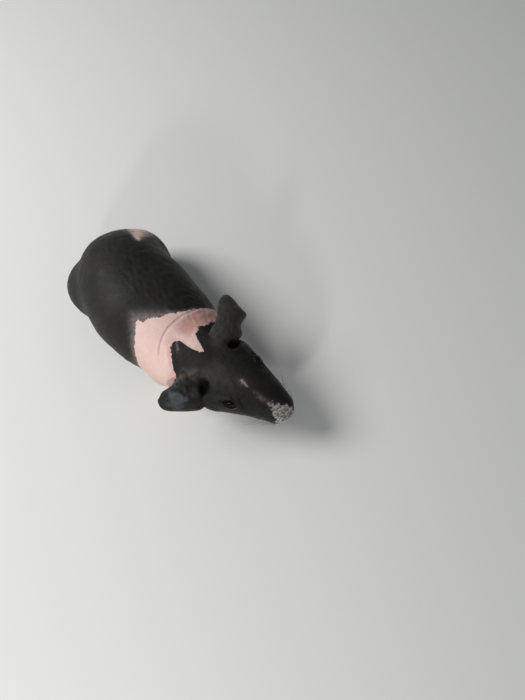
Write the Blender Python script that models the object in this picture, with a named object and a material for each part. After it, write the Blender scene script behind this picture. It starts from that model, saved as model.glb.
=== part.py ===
"""A life-size hairless guinea pig standing bunched up, its head turned to its left.

The animal faces -Y, its left side is +X, up is +Z and it stands on z = 0. Lengths are in metres.
The flesh is built from round-ended lofts, melted into one closed body, parted by thin cuts into
named pieces, and given eyes, ears and claws of its own sizes.
"""

import math

import bmesh
import bpy
from mathutils import Matrix, Vector

MM = 0.001
GAP = 0.3 * MM  # what touching pieces keep between them
SLIVER = 0.06 * MM  # corners nearer than this become one

# The head's own frame: origin on the midline between the ears, facing -Y before it is turned.
HEAD_PLACE = Vector((2.8, -89.7, 50.0)) * MM
HEAD_TURN = math.radians(18.5)  # to the animal's left
HEAD_DROOP = math.radians(13.0)  # the nose below the ears
HEAD = (
    Matrix.Translation(HEAD_PLACE)
    @ Matrix.Rotation(HEAD_TURN, 4, "Z")
    @ Matrix.Rotation(HEAD_DROOP, 4, "X")
)

# A loft's stations: place (x, y, z), half width, height above and depth below the place, in mm.
TORSO = (
    (23.0, 62.0, 38.0, 0.0, 0.0, 0.0),
    (20.0, 57.0, 38.5, 22.0, 17.0, 15.0),
    (12.0, 46.0, 39.0, 33.0, 29.5, 25.0),
    (2.0, 32.0, 40.0, 39.0, 37.0, 30.0),
    (-4.0, 15.0, 40.0, 42.5, 40.0, 32.0),
    (-5.5, -2.0, 40.0, 43.8, 40.5, 32.5),
    (-5.0, -18.0, 40.0, 42.6, 39.0, 32.0),
    (-3.7, -34.0, 40.5, 40.3, 36.0, 30.5),
    (-3.0, -50.0, 41.5, 37.0, 32.5, 29.0),
    (-2.0, -64.0, 44.0, 34.0, 28.0, 28.5),
    (0.0, -78.0, 46.0, 29.0, 24.0, 26.0),
    (3.0, -90.0, 47.0, 22.0, 18.0, 21.0),
    (5.0, -98.0, 46.0, 0.0, 0.0, 0.0),
)
# In the head's frame.
SKULL = (
    (0.0, 22.0, -6.0, 0.0, 0.0, 0.0),
    (0.0, 17.0, -5.0, 15.0, 14.0, 13.0),
    (0.0, 8.0, -3.0, 24.5, 18.0, 20.0),
    (0.0, -3.0, -1.0, 27.0, 17.5, 24.5),
    (0.0, -14.0, 0.0, 26.3, 17.0, 26.0),
    (0.0, -25.0, 0.5, 23.3, 16.2, 25.5),
    (0.0, -35.0, 0.5, 19.4, 15.0, 23.5),
    (0.0, -45.0, 0.0, 15.8, 13.6, 20.5),
    (0.0, -54.0, -1.0, 12.8, 11.8, 16.5),
    (0.0, -61.0, -2.0, 9.6, 9.0, 11.5),
    (0.0, -65.0, -2.5, 0.0, 0.0, 0.0),
)
# Round swellings of the body: place and half sizes in mm.
SWELLINGS = (
    ((-23.0, 37.5, 32.0), (26.6, 31.0, 23.0)),  # right haunch
    ((22.5, 38.0, 32.0), (21.5, 29.5, 23.0)),  # left haunch
    ((-24.0, -53.0, 34.0), (16.0, 20.0, 23.0)),  # right shoulder
    ((19.0, -53.0, 34.0), (16.0, 20.0, 23.0)),  # left shoulder
)
# The same on the head, in its frame, each with its mirror image.
CHEEK = ((16.0, -5.0, -5.0), (13.5, 19.0, 15.0))
WHISKER_PAD = ((6.2, -55.0, -4.6), (6.4, 8.2, 7.4))
BROW = ((12.5, -19.0, 7.0), (8.5, 13.0, 6.8))
CHIN = ((2.0, -52.0, -12.0), (6.5, 6.5, 6.0))
NOSE = ((1.6, -61.5, 1.6), (4.6, 3.6, 4.6))

EYE_PLACE = (16.6, -19.8, 6.6)
EYE_RADIUS = 6.2
LID_RADIUS = 7.1
EYE_MOUND = (7.3, 9.4, 7.2)  # the flesh that runs from the face up to the lids
LID_OPENING = (6.0, 3.9)  # half length along the head, half height
EYE_FACING = (12.0, 30.0)  # degrees forward and up from straight out to the side

EAR_CUP = ((20.0, 0.0, 7.5), (4.2, 5.2, 6.5))
# Rows of an ear from root to tip: rear edge, front edge, arch between them, thickness, in mm.
EAR_LEFT = (
    ((6.0, 16.0, 2.0), (12.0, -2.0, -2.0), 2.0, 3.0),
    ((11.0, 19.0, 11.0), (20.0, 1.0, 4.0), 4.0, 2.6),
    ((18.5, 20.5, 16.0), (30.0, -1.0, 6.0), 5.0, 2.0),
    ((26.0, 21.5, 16.5), (36.0, 4.0, 7.0), 5.0, 1.6),
    ((32.0, 24.0, 15.5), (46.0, 4.5, 5.5), 4.5, 1.5),
    ((38.0, 27.0, 13.0), (48.5, 10.0, 5.0), 3.5, 1.4),
    ((45.0, 28.0, 10.0), (51.0, 18.0, 6.0), 2.0, 1.3),
    ((49.5, 27.5, 7.5), (51.7, 24.0, 7.0), 0.3, 1.0),
)
EAR_RIGHT = (
    ((-8.0, 14.0, 2.0), (-18.0, -6.0, -6.0), 2.0, 3.0),
    ((-17.0, 20.0, 10.0), (-26.5, -7.0, -3.0), 4.0, 2.6),
    ((-24.5, 21.5, 11.0), (-33.5, -4.5, -5.0), 5.0, 2.0),
    ((-30.0, 22.0, 9.5), (-39.0, 2.5, -7.0), 5.0, 1.6),
    ((-34.0, 23.5, 6.5), (-42.5, 8.5, -8.0), 4.0, 1.5),
    ((-37.5, 25.5, 3.0), (-45.5, 13.5, -8.0), 3.0, 1.4),
    ((-41.0, 25.5, -1.0), (-47.0, 18.0, -7.0), 2.0, 1.3),
    ((-44.0, 25.2, -4.5), (-46.3, 21.5, -6.5), 0.3, 1.0),
)
EAR_ROOT = ((0.92, 0.39, 0.05), 27.5)  # direction out along the ear, and the parting's distance

MOUTH = ((11.8, -49.0, -12.2), (10.6, -53.5, -11.4), (8.9, -58.6, -10.6), (4.9, -61.4, -9.8), (0.0, -62.4, -9.2))
NOSTRIL = ((3.2, -64.6, 1.0), (1.2, 1.9, 1.7))
LIP_CLEFT = ((0.0, -63.6, -4.2), (0.35, 2.2, 4.6))

# Legs, hip or shoulder to ankle: place, half width, half depth forward and backward.
HIND_LEG = (
    (29.0, 9.0, 27.0, 0.0, 0.0, 0.0),
    (28.5, 14.0, 24.0, 9.0, 9.0, 9.0),
    (28.0, 24.0, 18.0, 8.5, 8.5, 9.0),
    (27.0, 34.0, 12.0, 6.8, 6.5, 7.0),
    (26.5, 40.0, 8.5, 5.0, 5.0, 5.5),
    (26.5, 43.5, 6.5, 0.0, 0.0, 0.0),
)
FORE_LEG = (
    (19.5, -50.0, 34.0, 0.0, 0.0, 0.0),
    (19.5, -53.0, 29.0, 9.0, 12.0, 12.0),
    (19.0, -57.5, 20.0, 7.6, 8.5, 9.0),
    (18.2, -62.0, 13.0, 5.4, 5.8, 6.2),
    (17.8, -64.5, 8.0, 4.6, 4.6, 4.6),
    (17.8, -65.5, 5.0, 0.0, 0.0, 0.0),
)
# Feet in their own frame: origin on the floor under the ankle, toes toward -y.
HIND_FOOT = (
    (0.0, 6.5, 5.2, 0.0, 0.0, 0.0),
    (0.0, 4.0, 5.2, 4.2, 4.2, 5.2),
    (0.0, -4.0, 4.6, 5.0, 4.8, 4.8),
    (0.0, -14.0, 3.8, 5.4, 3.7, 4.0),
    (0.0, -24.0, 3.2, 6.2, 2.9, 3.4),
    (0.0, -29.0, 2.8, 5.4, 2.3, 3.0),
    (0.0, -32.0, 2.4, 0.0, 0.0, 0.0),
)
HIND_ANKLE = (
    (0.0, 3.5, 3.0, 0.0, 0.0, 0.0),
    (0.0, 2.5, 5.0, 4.4, 4.4, 4.4),
    (0.0, -0.5, 9.0, 4.9, 4.9, 5.2),
    (0.0, -5.0, 14.0, 5.0, 5.0, 5.0),
    (0.0, -7.0, 16.0, 0.0, 0.0, 0.0),
)
HIND_TOES = (((-4.0, -26.0), (-5.8, -35.5)), ((0.0, -27.0), (0.0, -39.5)), ((4.0, -26.0), (5.8, -35.5)))
FRONT_FOOT = (
    (0.0, 5.5, 4.6, 0.0, 0.0, 0.0),
    (0.0, 3.5, 4.6, 3.8, 3.6, 4.4),
    (0.0, -1.0, 4.2, 4.7, 3.8, 4.2),
    (0.0, -6.0, 3.4, 5.6, 3.1, 3.5),
    (0.0, -10.5, 2.7, 5.4, 2.3, 2.8),
    (0.0, -13.0, 2.2, 0.0, 0.0, 0.0),
)
FRONT_ANKLE = (
    (0.0, 1.0, 2.5, 0.0, 0.0, 0.0),
    (0.0, 1.0, 4.5, 4.2, 4.2, 4.2),
    (0.0, 1.2, 9.0, 4.6, 4.6, 4.8),
    (-0.2, 3.0, 15.0, 4.8, 4.8, 5.0),
    (-0.2, 4.0, 17.5, 0.0, 0.0, 0.0),
)
FRONT_TOES = (
    ((-4.1, -8.0), (-6.6, -15.0)),
    ((-1.45, -9.5), (-2.3, -19.0)),
    ((1.45, -9.5), (2.3, -19.0)),
    ((4.1, -8.0), (6.6, -15.0)),
)
TOE_RADIUS = {"hind": (2.2, 1.75), "front": (1.85, 1.5)}
CLAW_LENGTH = {"hind": 5.6, "front": 4.6}
CLAW_RADIUS = {"hind": 1.05, "front": 0.85}
# Where the feet stand: place under the ankle and how far the toes turn outward, degrees.
STANCE = {
    "hind_right": ((-27.0, 42.0), 7.0),
    "hind_left": ((25.5, 40.5), 4.0),
    "front_right": ((-17.8, -64.0), 5.0),
    "front_left": ((16.8, -66.0), 3.0),
}
ANKLE_HEIGHT = {"hind": 9.0, "front": 9.5}
# Where the legs part from the trunk: place and half sizes.
LEG_REGION = {
    "hind": ((34.0, 29.0, 15.0), (20.0, 31.0, 30.0)),
    "front": ((25.0, -58.0, 14.0), (14.0, 18.0, 28.0)),
}

# Partings of the trunk: name of the piece cut off, a place in mm and the direction of the piece.
TRUNK_PARTINGS = (
    ("torso_rear", (0.0, 4.0, 40.0), (0.0, 1.0, 0.0)),
    ("torso_front", (0.0, -50.0, 40.0), (-0.15, 1.0, 0.0)),
)
HEAD_PARTING = 22.0  # behind the ears

TRUNK_VOXEL = 1.8 * MM
CORE_VOXEL = 1.4 * MM
FOOT_VOXEL = 0.45 * MM
CORE_FACES = 4400
FOOT_FACES = 380

BLACK = ((0.030, 0.030, 0.033), 0.55)
PINK = ((0.70, 0.47, 0.42), 0.6)
EYE_GLOSS = ((0.010, 0.008, 0.008), 0.05)
HORN_DARK = ((0.07, 0.06, 0.055), 0.4)
HORN_PALE = ((0.62, 0.50, 0.43), 0.4)


def smooth_between(before, start, end, after, t):
    """One value on the Catmull-Rom curve from start to end."""
    return 0.5 * (
        2.0 * start
        + (end - before) * t
        + (2.0 * before - 5.0 * start + 4.0 * end - after) * t * t
        + (3.0 * start - before - 3.0 * end + after) * t * t * t
    )


def station_at(stations, share):
    """The station at a share from 0 to 1 of the loft, with its first and last ends rounded."""
    rounded = (
        stations[1][:3] + tuple(-value for value in stations[1][3:]),
        *stations,
        stations[-2][:3] + tuple(-value for value in stations[-2][3:]),
    )
    place = min(max(share, 0.0), 1.0) * (len(stations) - 1)
    index = min(int(place), len(stations) - 2)
    four = rounded[index : index + 4]
    return [smooth_between(*values, place - index) for values in zip(*four)]


def loft(name, stations, frame=None, side=(1.0, 0.0, 0.0), segments=40, rings=56):
    """A closed round-ended body through the stations, each ring square to the line of places."""
    frame = frame or Matrix.Identity(4)
    side = Vector(side)
    bm = bmesh.new()
    bmesh.ops.create_uvsphere(bm, u_segments=segments, v_segments=rings, radius=1.0)
    step = 0.25 / rings
    rows = {}
    for vert in bm.verts:
        share = round(math.acos(max(-1.0, min(1.0, vert.co.z))) / math.pi, 5)
        if share not in rows:
            here = station_at(stations, share)
            ahead = Vector(station_at(stations, share + step)[:3])
            behind = Vector(station_at(stations, share - step)[:3])
            along = (ahead - behind).normalized()
            across = (side - along * along.dot(side)).normalized()
            rows[share] = (Vector(here[:3]), across, along.cross(across), here[3:])
        place, across, up, (half_width, above, below) = rows[share]
        angle = math.atan2(vert.co.y, vert.co.x)
        lift = above if math.sin(angle) > 0.0 else below
        point = place + across * half_width * math.cos(angle) + up * lift * math.sin(angle)
        vert.co = frame @ (point * MM)
    bmesh.ops.recalc_face_normals(bm, faces=bm.faces)
    return finished(name, bm)


def finished(name, bm):
    """Closes a bmesh into a scene object."""
    if bm.calc_volume(signed=True) < 0.0:
        bmesh.ops.reverse_faces(bm, faces=bm.faces)
    mesh = bpy.data.meshes.new(name)
    bm.to_mesh(mesh)
    bm.free()
    made = bpy.data.objects.new(name, mesh)
    bpy.context.scene.collection.objects.link(made)
    return made


def ball(name, place, radii, frame=None, turn=0.0, segments=28, rings=18):
    """An egg of three half sizes in mm, turned about its own upright axis in degrees."""
    matrix = (
        (frame or Matrix.Identity(4))
        @ Matrix.Translation(Vector(place) * MM)
        @ Matrix.Rotation(math.radians(turn), 4, "Z")
        @ Matrix.Diagonal((*(Vector(radii) * MM), 1.0))
    )
    bm = bmesh.new()
    bmesh.ops.create_uvsphere(bm, u_segments=segments, v_segments=rings, radius=1.0, matrix=matrix)
    return finished(name, bm)


def mirrored(values):
    """The same place or loft on the other side of the animal."""
    if isinstance(values[0], tuple):
        return tuple(mirrored(row) for row in values)
    return (-values[0], *values[1:])


def ear(name, rows, grow=0.0, columns=16, steps=2):
    """A thin arched flap from root to tip, thickest at its root, its rim rounded."""
    padded = (rows[0], *rows, rows[-1])
    fine = []
    for index in range(len(rows) - 1):
        four = padded[index : index + 4]
        for step in range(steps + (index == len(rows) - 2)):
            t = step / steps
            fine.append(
                (
                    Vector([smooth_between(*v, t) for v in zip(*(row[0] for row in four))]),
                    Vector([smooth_between(*v, t) for v in zip(*(row[1] for row in four))]),
                    smooth_between(*(row[2] for row in four), t),
                    smooth_between(*(row[3] for row in four), t) + 2.0 * grow,
                )
            )
    bm = bmesh.new()
    loops = []
    for index, (rear, front, arch, thick) in enumerate(fine):
        before, after = fine[max(index - 1, 0)], fine[min(index + 1, len(fine) - 1)]
        along = (after[0] + after[1] - before[0] - before[1]).normalized()
        across = front - rear
        up = along.cross(across).normalized()
        up = up if up.z > 0.0 else -up
        widen = grow / max(across.length, 0.1)
        loop = []
        for column in range(columns):
            angle = math.tau * column / columns
            share = 0.5 - 0.5 * math.cos(angle)
            lift = 0.5 * thick * math.copysign(abs(math.sin(angle)) ** 0.6, math.sin(angle))
            spread = share * (1.0 + 2.0 * widen) - widen
            place = rear + across * spread + up * (arch * 4.0 * share * (1.0 - share) + lift)
            loop.append(bm.verts.new(HEAD @ ((place + along * grow * (index == len(fine) - 1)) * MM)))
        loops.append(loop)
    for lower, upper in zip(loops, loops[1:]):
        for column in range(columns):
            after = (column + 1) % columns
            bm.faces.new((lower[column], lower[after], upper[after], upper[column]))
    bm.faces.new(reversed(loops[0]))
    bm.faces.new(loops[-1])
    bmesh.ops.triangulate(bm, faces=bm.faces)
    bmesh.ops.recalc_face_normals(bm, faces=bm.faces)
    return finished(name, bm)


def slab(name, frame, reach, width=60.0, length=60.0):
    """A box that starts at the frame's origin and runs along its own +z by reach mm."""
    bm = bmesh.new()
    matrix = frame @ Matrix.Translation((0.0, 0.0, 0.5 * reach * MM)) @ Matrix.Diagonal(
        (width * MM, length * MM, reach * MM, 1.0)
    )
    bmesh.ops.create_cube(bm, size=1.0, matrix=matrix)
    return finished(name, bm)


def facing(place, direction):
    """A frame in world metres at a place in mm with its +z along a direction."""
    turn = Vector(direction).to_track_quat("Z", "Y").to_matrix().to_4x4()
    return Matrix.Translation(Vector(place) * MM) @ turn


def bake(thing):
    """Applies the modifiers of an object to its mesh."""
    bpy.context.view_layer.update()
    shown = thing.evaluated_get(bpy.context.evaluated_depsgraph_get())
    mesh = bpy.data.meshes.new_from_object(shown)
    thing.modifiers.clear()
    thing.data = mesh
    return thing


def duplicate(thing, name):
    """A copy of an object with a mesh of its own."""
    copy = thing.copy()
    copy.data = thing.data.copy()
    copy.name = name
    bpy.context.scene.collection.objects.link(copy)
    return copy


def combine(thing, others, operation):
    """Joins to, or cuts from, an object all the others, which are then removed."""
    group = bpy.data.collections.new("others")
    bpy.context.scene.collection.children.link(group)
    for other in others:
        group.objects.link(other)
    modifier = thing.modifiers.new("combine", "BOOLEAN")
    modifier.operation = operation
    modifier.solver = "EXACT"
    modifier.operand_type = "COLLECTION"
    modifier.collection = group
    bake(thing)
    for other in others:
        bpy.data.objects.remove(other)
    bpy.data.collections.remove(group)
    return largest(thing)


def largest(thing):
    """Keeps only the surface of an object with the most corners."""
    bm = bmesh.new()
    bm.from_mesh(thing.data)
    bmesh.ops.triangulate(bm, faces=bm.faces)
    seen, islands = set(), []
    for start in bm.verts:
        if start in seen:
            continue
        seen.add(start)
        island, edge = [start], [start]
        while edge:
            for link in edge.pop().link_edges:
                for vert in link.verts:
                    if vert not in seen:
                        seen.add(vert)
                        island.append(vert)
                        edge.append(vert)
        islands.append(island)
    islands.sort(key=len)
    for island in islands[:-1]:
        bmesh.ops.delete(bm, geom=island, context="VERTS")
    merged = bm.copy()
    bmesh.ops.remove_doubles(merged, verts=merged.verts, dist=SLIVER)
    bmesh.ops.dissolve_degenerate(merged, dist=SLIVER, edges=merged.edges)
    bmesh.ops.triangulate(merged, faces=merged.faces)
    closed = all(len(edge.link_faces) == 2 for edge in merged.edges)
    (merged if closed else bm).to_mesh(thing.data)
    merged.free()
    bm.free()
    return thing


def join(name, things):
    """Puts the meshes of several objects into one object without joining their surfaces."""
    bm = bmesh.new()
    for thing in things:
        bm.from_mesh(thing.data)
        bpy.data.objects.remove(thing)
    return finished(name, bm)


def melt(thing, voxel, faces, rounds):
    """Runs overlapping bodies together into one smooth skin, of about so many faces if said."""
    remesh = thing.modifiers.new("melt", "REMESH")
    remesh.mode = "VOXEL"
    remesh.voxel_size = voxel
    smooth = thing.modifiers.new("smooth", "SMOOTH")
    smooth.factor = 0.5
    smooth.iterations = rounds
    largest(bake(thing))
    if faces is None:
        return thing
    decimate = thing.modifiers.new("thin out", "DECIMATE")
    decimate.ratio = faces / len(thing.data.polygons)
    return largest(bake(thing))


def carve(thing, name, region, grown):
    """Takes the part of an object inside a region as a new object, a thin gap between the two."""
    part = duplicate(thing, name)
    combine(part, [region], "INTERSECT")
    combine(thing, [grown], "DIFFERENCE")
    return part


def beyond(thing, name, frame, reach=160.0, width=160.0, length=160.0):
    """Carves off the part of an object on the +z side of a frame."""
    wide = GAP / MM
    region = slab("region", frame, reach, width, length)
    behind = frame @ Matrix.Translation((0.0, 0.0, -GAP))
    grown = slab("grown", behind, reach + 2.0 * wide, width + 2.0 * wide, length + 2.0 * wide)
    return carve(thing, name, region, grown)


def stance(kind, side):
    """The frame of a foot on the floor."""
    (x, y), turn = STANCE[f"{kind}_{side}"]
    outward = math.radians(-turn if side == "right" else turn)
    return Matrix.Translation((x * MM, y * MM, 0.0)) @ Matrix.Rotation(outward, 4, "Z")


def foot(kind, side):
    """A foot with its toes, and its claws: (foot, claws)."""
    frame = stance(kind, side)
    sole, ankle, toes = {
        "hind": (HIND_FOOT, HIND_ANKLE, HIND_TOES),
        "front": (FRONT_FOOT, FRONT_ANKLE, FRONT_TOES),
    }[kind]
    parts = [loft("sole", sole, frame, segments=24, rings=24)]
    parts.append(loft("ankle", ankle, frame, segments=24, rings=24))
    claws, pockets = [], []
    root, tip = TOE_RADIUS[kind]
    for index, ((x0, y0), (x1, y1)) in enumerate(toes):
        way = Vector((x1 - x0, y1 - y0, 0.0)).normalized()
        stations = tuple(
            (x0 + (x1 - x0) * t, y0 + (y1 - y0) * t, height, size, size, size * 1.12)
            for t, height, size in (
                (-0.3, root, 0.0),
                (0.0, root, root),
                (0.45, root * 1.05, root * 0.92),
                (0.8, tip, tip),
                (1.0, tip, 0.0),
            )
        )
        parts.append(loft("toe", stations, frame, segments=20, rings=20))
        claw_root = Vector((x1, y1, tip * 1.15)) - way * 1.6
        for grow, made in ((0.0, claws), (GAP / MM, pockets)):
            radius, length = CLAW_RADIUS[kind] + grow, CLAW_LENGTH[kind] + grow
            line = []
            for t, rise, size in (
                (0.0, 0.0, 0.0),
                (0.04, 0.0, 0.9),
                (0.35, 0.05, 1.0),
                (0.7, -0.35, 0.72),
                (0.93, -0.95, 0.38),
                (1.0, -1.15, 0.0),
            ):
                place = claw_root + way * (length * t - grow) + Vector((0.0, 0.0, rise))
                wide = radius * size * 0.8
                line.append((*place, wide, radius * size, radius * size))
            name = f"claw_{kind}_{side}_{index + 1}"
            made.append(loft(name, tuple(line), frame, segments=8, rings=6))
    made = melt(join(f"foot_{kind}_{side}", parts), FOOT_VOXEL, FOOT_FACES, 3)
    return made, claws, pockets


def flesh():
    """The trunk, head and legs melted into one closed body."""
    trunk = [loft("torso", TORSO)]
    trunk += [ball("swelling", *swelling) for swelling in SWELLINGS]
    bodies = [melt(join("trunk", trunk), TRUNK_VOXEL, None, 30), loft("skull", SKULL, HEAD)]
    for place, sizes in (CHEEK, WHISKER_PAD, BROW, CHIN, NOSE, (EYE_PLACE, EYE_MOUND)):
        bodies.append(ball("left", place, sizes, HEAD))
        bodies.append(ball("right", mirrored(place), sizes, HEAD))
    for leg in (HIND_LEG, FORE_LEG):
        bodies.append(loft("leg_left", leg))
        bodies.append(loft("leg_right", mirrored(leg)))
    return melt(join("head", bodies), CORE_VOXEL, CORE_FACES, 10)


def eye_frame(sign):
    """The frame of one eye in world metres, +z out through its opening, +y up the lids."""
    forward, up = (math.radians(angle) for angle in EYE_FACING)
    out = Vector((sign * math.cos(forward) * math.cos(up), -math.sin(forward), math.sin(up)))
    along = Vector((0.0, -1.0, -0.12))
    along = (along - out * along.dot(out)).normalized()
    turn = Matrix((along, out.cross(along), out)).transposed().to_4x4()
    x, y, z = EYE_PLACE
    return HEAD @ Matrix.Translation(Vector((sign * x, y, z)) * MM) @ turn


def lens(name, frame, half_length, half_height, reach, corners=16):
    """An almond-shaped bar along the frame's +z, pointed at both ends of its x axis."""
    bm = bmesh.new()
    rim = []
    for corner in range(corners):
        angle = math.tau * corner / corners
        wide = math.cos(angle)
        high = math.copysign(abs(math.sin(angle)) ** 1.25, math.sin(angle))
        rim.append((half_length * wide, half_height * high))
    far = [bm.verts.new(frame @ (Vector((x, y, reach)) * MM)) for x, y in rim]
    near = [bm.verts.new(frame @ (Vector((x, y, 0.5)) * MM)) for x, y in rim]
    for corner in range(corners):
        after = (corner + 1) % corners
        bm.faces.new((near[corner], near[after], far[after], far[corner]))
    bm.faces.new(far)
    bm.faces.new(reversed(near))
    bmesh.ops.recalc_face_normals(bm, faces=bm.faces)
    return finished(name, bm)


def furrow(name, line, wide, deep):
    """A thin bar along a line of places in the head's frame, as wide up and down as said."""
    whole = tuple(mirrored(place) for place in line[:-1]) + tuple(reversed(line))
    stations = (
        (*(Vector(whole[0]) * 1.5 - Vector(whole[1]) * 0.5), 0.0, 0.0, 0.0),
        *((*place, deep, wide, wide) for place in whole),
        (*(Vector(whole[-1]) * 1.5 - Vector(whole[-2]) * 0.5), 0.0, 0.0, 0.0),
    )
    return loft(name, stations, HEAD, (0.0, -1.0, 0.0), segments=6, rings=26)


def face(body):
    """Gives the body its lids, ear cups, mouth, lip cleft and nostrils; returns the eyes."""
    lids, cuts, eyes = [], [], []
    for sign, side in ((-1.0, "right"), (1.0, "left")):
        frame = eye_frame(sign)
        ring = [(0.0, 0.0, 0.0), (LID_RADIUS,) * 3, frame]
        lids.append(ball("lid", *ring, segments=18, rings=10))
        ring[1] = (EYE_RADIUS + GAP / MM,) * 3
        cuts.append(ball("socket", *ring, segments=20, rings=12))
        cuts.append(lens("opening", frame, *LID_OPENING, 12.0))
        ring[1] = (EYE_RADIUS,) * 3
        eyes.append(ball(f"eye_{side}", *ring, segments=18, rings=10))
        for place, sizes in (EAR_CUP, NOSTRIL):
            place = place if sign > 0.0 else mirrored(place)
            cuts.append(ball("hollow", place, sizes, HEAD, segments=12, rings=8))
    cuts.append(ball("cleft", *LIP_CLEFT, HEAD, segments=8, rings=6))
    cuts.append(furrow("mouth", MOUTH, 0.4, 2.0))
    combine(body, lids, "UNION")
    combine(body, cuts, "DIFFERENCE")
    return eyes


def ears(body):
    """Roots both ears in the body and returns their free parts."""
    free = []
    for side, rows, sign in (("right", EAR_RIGHT, -1.0), ("left", EAR_LEFT, 1.0)):
        out = Vector(EAR_ROOT[0])
        out.x *= sign
        out.normalize()
        frame = HEAD @ facing(out * EAR_ROOT[1], out)
        flap = ear(f"ear_{side}", rows)
        root = duplicate(flap, "root")
        combine(flap, [slab("far", frame @ Matrix.Translation((0, 0, 0.5 * GAP)), 80.0)], "INTERSECT")
        turned = frame @ Matrix.Translation((0, 0, -0.5 * GAP)) @ Matrix.Rotation(math.pi, 4, "X")
        combine(root, [slab("near", turned, 80.0)], "INTERSECT")
        room = ear("room", rows, GAP / MM)
        combine(room, [slab("far", frame @ Matrix.Translation((0, 0, -0.5 * GAP)), 80.0)], "INTERSECT")
        combine(body, [root], "UNION")
        combine(body, [room], "DIFFERENCE")
        free.append(flap)
    return free


def limbs(body):
    """Adds the feet to the body, then parts feet and legs from it: (pieces, claws)."""
    pieces, claws = [], []
    floor = Matrix.Rotation(math.pi, 4, "X")
    for kind in ("hind", "front"):
        for side in ("right", "left"):
            made, own, pockets = foot(kind, side)
            claws += own
            combine(made, [*pockets, slab("floor", floor, 20.0, 400.0, 400.0)], "DIFFERENCE")
            combine(body, [made], "UNION")
    for kind in ("hind", "front"):
        for side in ("right", "left"):
            below = stance(kind, side) @ Matrix.Translation(
                (0.0, -17.0 * MM, ANKLE_HEIGHT[kind] * MM)
            )
            pieces.append(beyond(body, f"foot_{kind}_{side}", below @ floor, 20.0, 17.0, 60.0))
            place, sizes = LEG_REGION[kind]
            place = place if side == "left" else mirrored(place)
            region = ball("region", place, sizes, segments=16, rings=10)
            grown = ball("grown", place, [size + 1.1 * GAP / MM for size in sizes], None, 0.0, 16, 10)
            pieces.append(carve(body, f"leg_{kind}_{side}", region, grown))
    return pieces, claws


def trunk_pieces(body):
    """Parts the trunk from tail to neck; what is left of the body is the head."""
    pieces = [beyond(body, name, facing(place, way)) for name, place, way in TRUNK_PARTINGS]
    nape = HEAD @ facing((0.0, HEAD_PARTING, 0.0), (0.0, 1.0, 0.0))
    pieces.append(beyond(body, "neck", nape))
    return pieces


def paint(thing):
    """Gives a piece a material of its own."""
    name = thing.name
    if name.startswith("eye"):
        colour, roughness = EYE_GLOSS
    elif name.startswith("claw"):
        colour, roughness = HORN_PALE if "front" in name else HORN_DARK
    elif "front" in name or name == "neck":
        colour, roughness = PINK
    else:
        colour, roughness = BLACK
    material = bpy.data.materials.new(name)
    material.use_nodes = True
    shader = material.node_tree.nodes["Principled BSDF"]
    shader.inputs["Base Color"].default_value = (*colour, 1.0)
    shader.inputs["Roughness"].default_value = roughness
    thing.data.materials.clear()
    thing.data.materials.append(material)


def centre(things):
    """Moves everything so that the origin is under the middle of the whole, on the floor."""
    corners = [vert.co for thing in things for vert in thing.data.vertices]
    middle = [(min(c[a] for c in corners) + max(c[a] for c in corners)) * 0.5 for a in (0, 1)]
    low = min(corner.z for corner in corners)
    for thing in things:
        thing.data.transform(Matrix.Translation((-middle[0], -middle[1], -low)))


def main():
    """Builds the whole animal in an empty scene."""
    for leftover in list(bpy.data.objects):
        bpy.data.objects.remove(leftover)
    head = flesh()
    eyes = face(head)
    flaps = ears(head)
    legs, claws = limbs(head)
    things = [head, *trunk_pieces(head), *legs, *flaps, *eyes, *claws]
    for thing in things:
        paint(thing)
    centre(things)


if __name__ == "__main__":
    main()
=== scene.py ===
"""A life-size hairless guinea pig, as a museum would show it, on a plain pale floor.

One skin with its folds and markings covers the body; the eyes, the claws, the short fur of the
muzzle and feet and the whiskers are pieces of their own. Shapes are in millimetres in the
animal's own frame (facing -Y, its left +X) until they are finished, and in metres after that.
"""

import logging
import math
from collections.abc import Callable
from dataclasses import dataclass
from enum import Enum

import bmesh
import bpy
import numpy as np
from mathutils import Matrix, Vector
from mathutils.bvhtree import BVHTree

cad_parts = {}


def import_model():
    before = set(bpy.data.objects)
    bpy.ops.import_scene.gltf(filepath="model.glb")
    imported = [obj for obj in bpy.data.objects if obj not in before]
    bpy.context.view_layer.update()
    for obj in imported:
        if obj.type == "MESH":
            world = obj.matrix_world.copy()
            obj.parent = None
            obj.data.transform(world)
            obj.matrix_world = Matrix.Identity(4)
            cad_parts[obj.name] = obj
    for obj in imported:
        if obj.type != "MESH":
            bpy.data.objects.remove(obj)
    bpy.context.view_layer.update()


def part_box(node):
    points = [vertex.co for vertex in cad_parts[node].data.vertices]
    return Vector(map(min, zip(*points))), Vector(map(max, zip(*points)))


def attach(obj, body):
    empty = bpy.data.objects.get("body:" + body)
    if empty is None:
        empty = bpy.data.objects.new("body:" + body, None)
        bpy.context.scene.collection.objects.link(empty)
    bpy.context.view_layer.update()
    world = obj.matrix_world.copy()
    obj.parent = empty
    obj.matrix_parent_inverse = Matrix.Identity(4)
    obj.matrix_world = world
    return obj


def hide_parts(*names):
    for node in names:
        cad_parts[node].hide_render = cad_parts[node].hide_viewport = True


log = logging.getLogger("guinea_pig")

Station = tuple[float, float, float, float, float, float]
Triple = tuple[float, float, float]
Pair = tuple[float, float]
Rows = np.ndarray  # one row or number for each place
Mesh = bpy.types.Mesh
Thing = bpy.types.Object

HEAD = (
    Matrix.Translation((2.8, -89.7, 50))
    @ Matrix.Rotation(math.radians(18.5), 4, "Z")
    @ Matrix.Rotation(math.radians(13), 4, "X")
)
PLAIN = Matrix.Identity(4)
METRE = 1000  # in the millimetres of the shapes
OUTSIDE = 9  # further out of an eye's opening than any place on its lids


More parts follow.
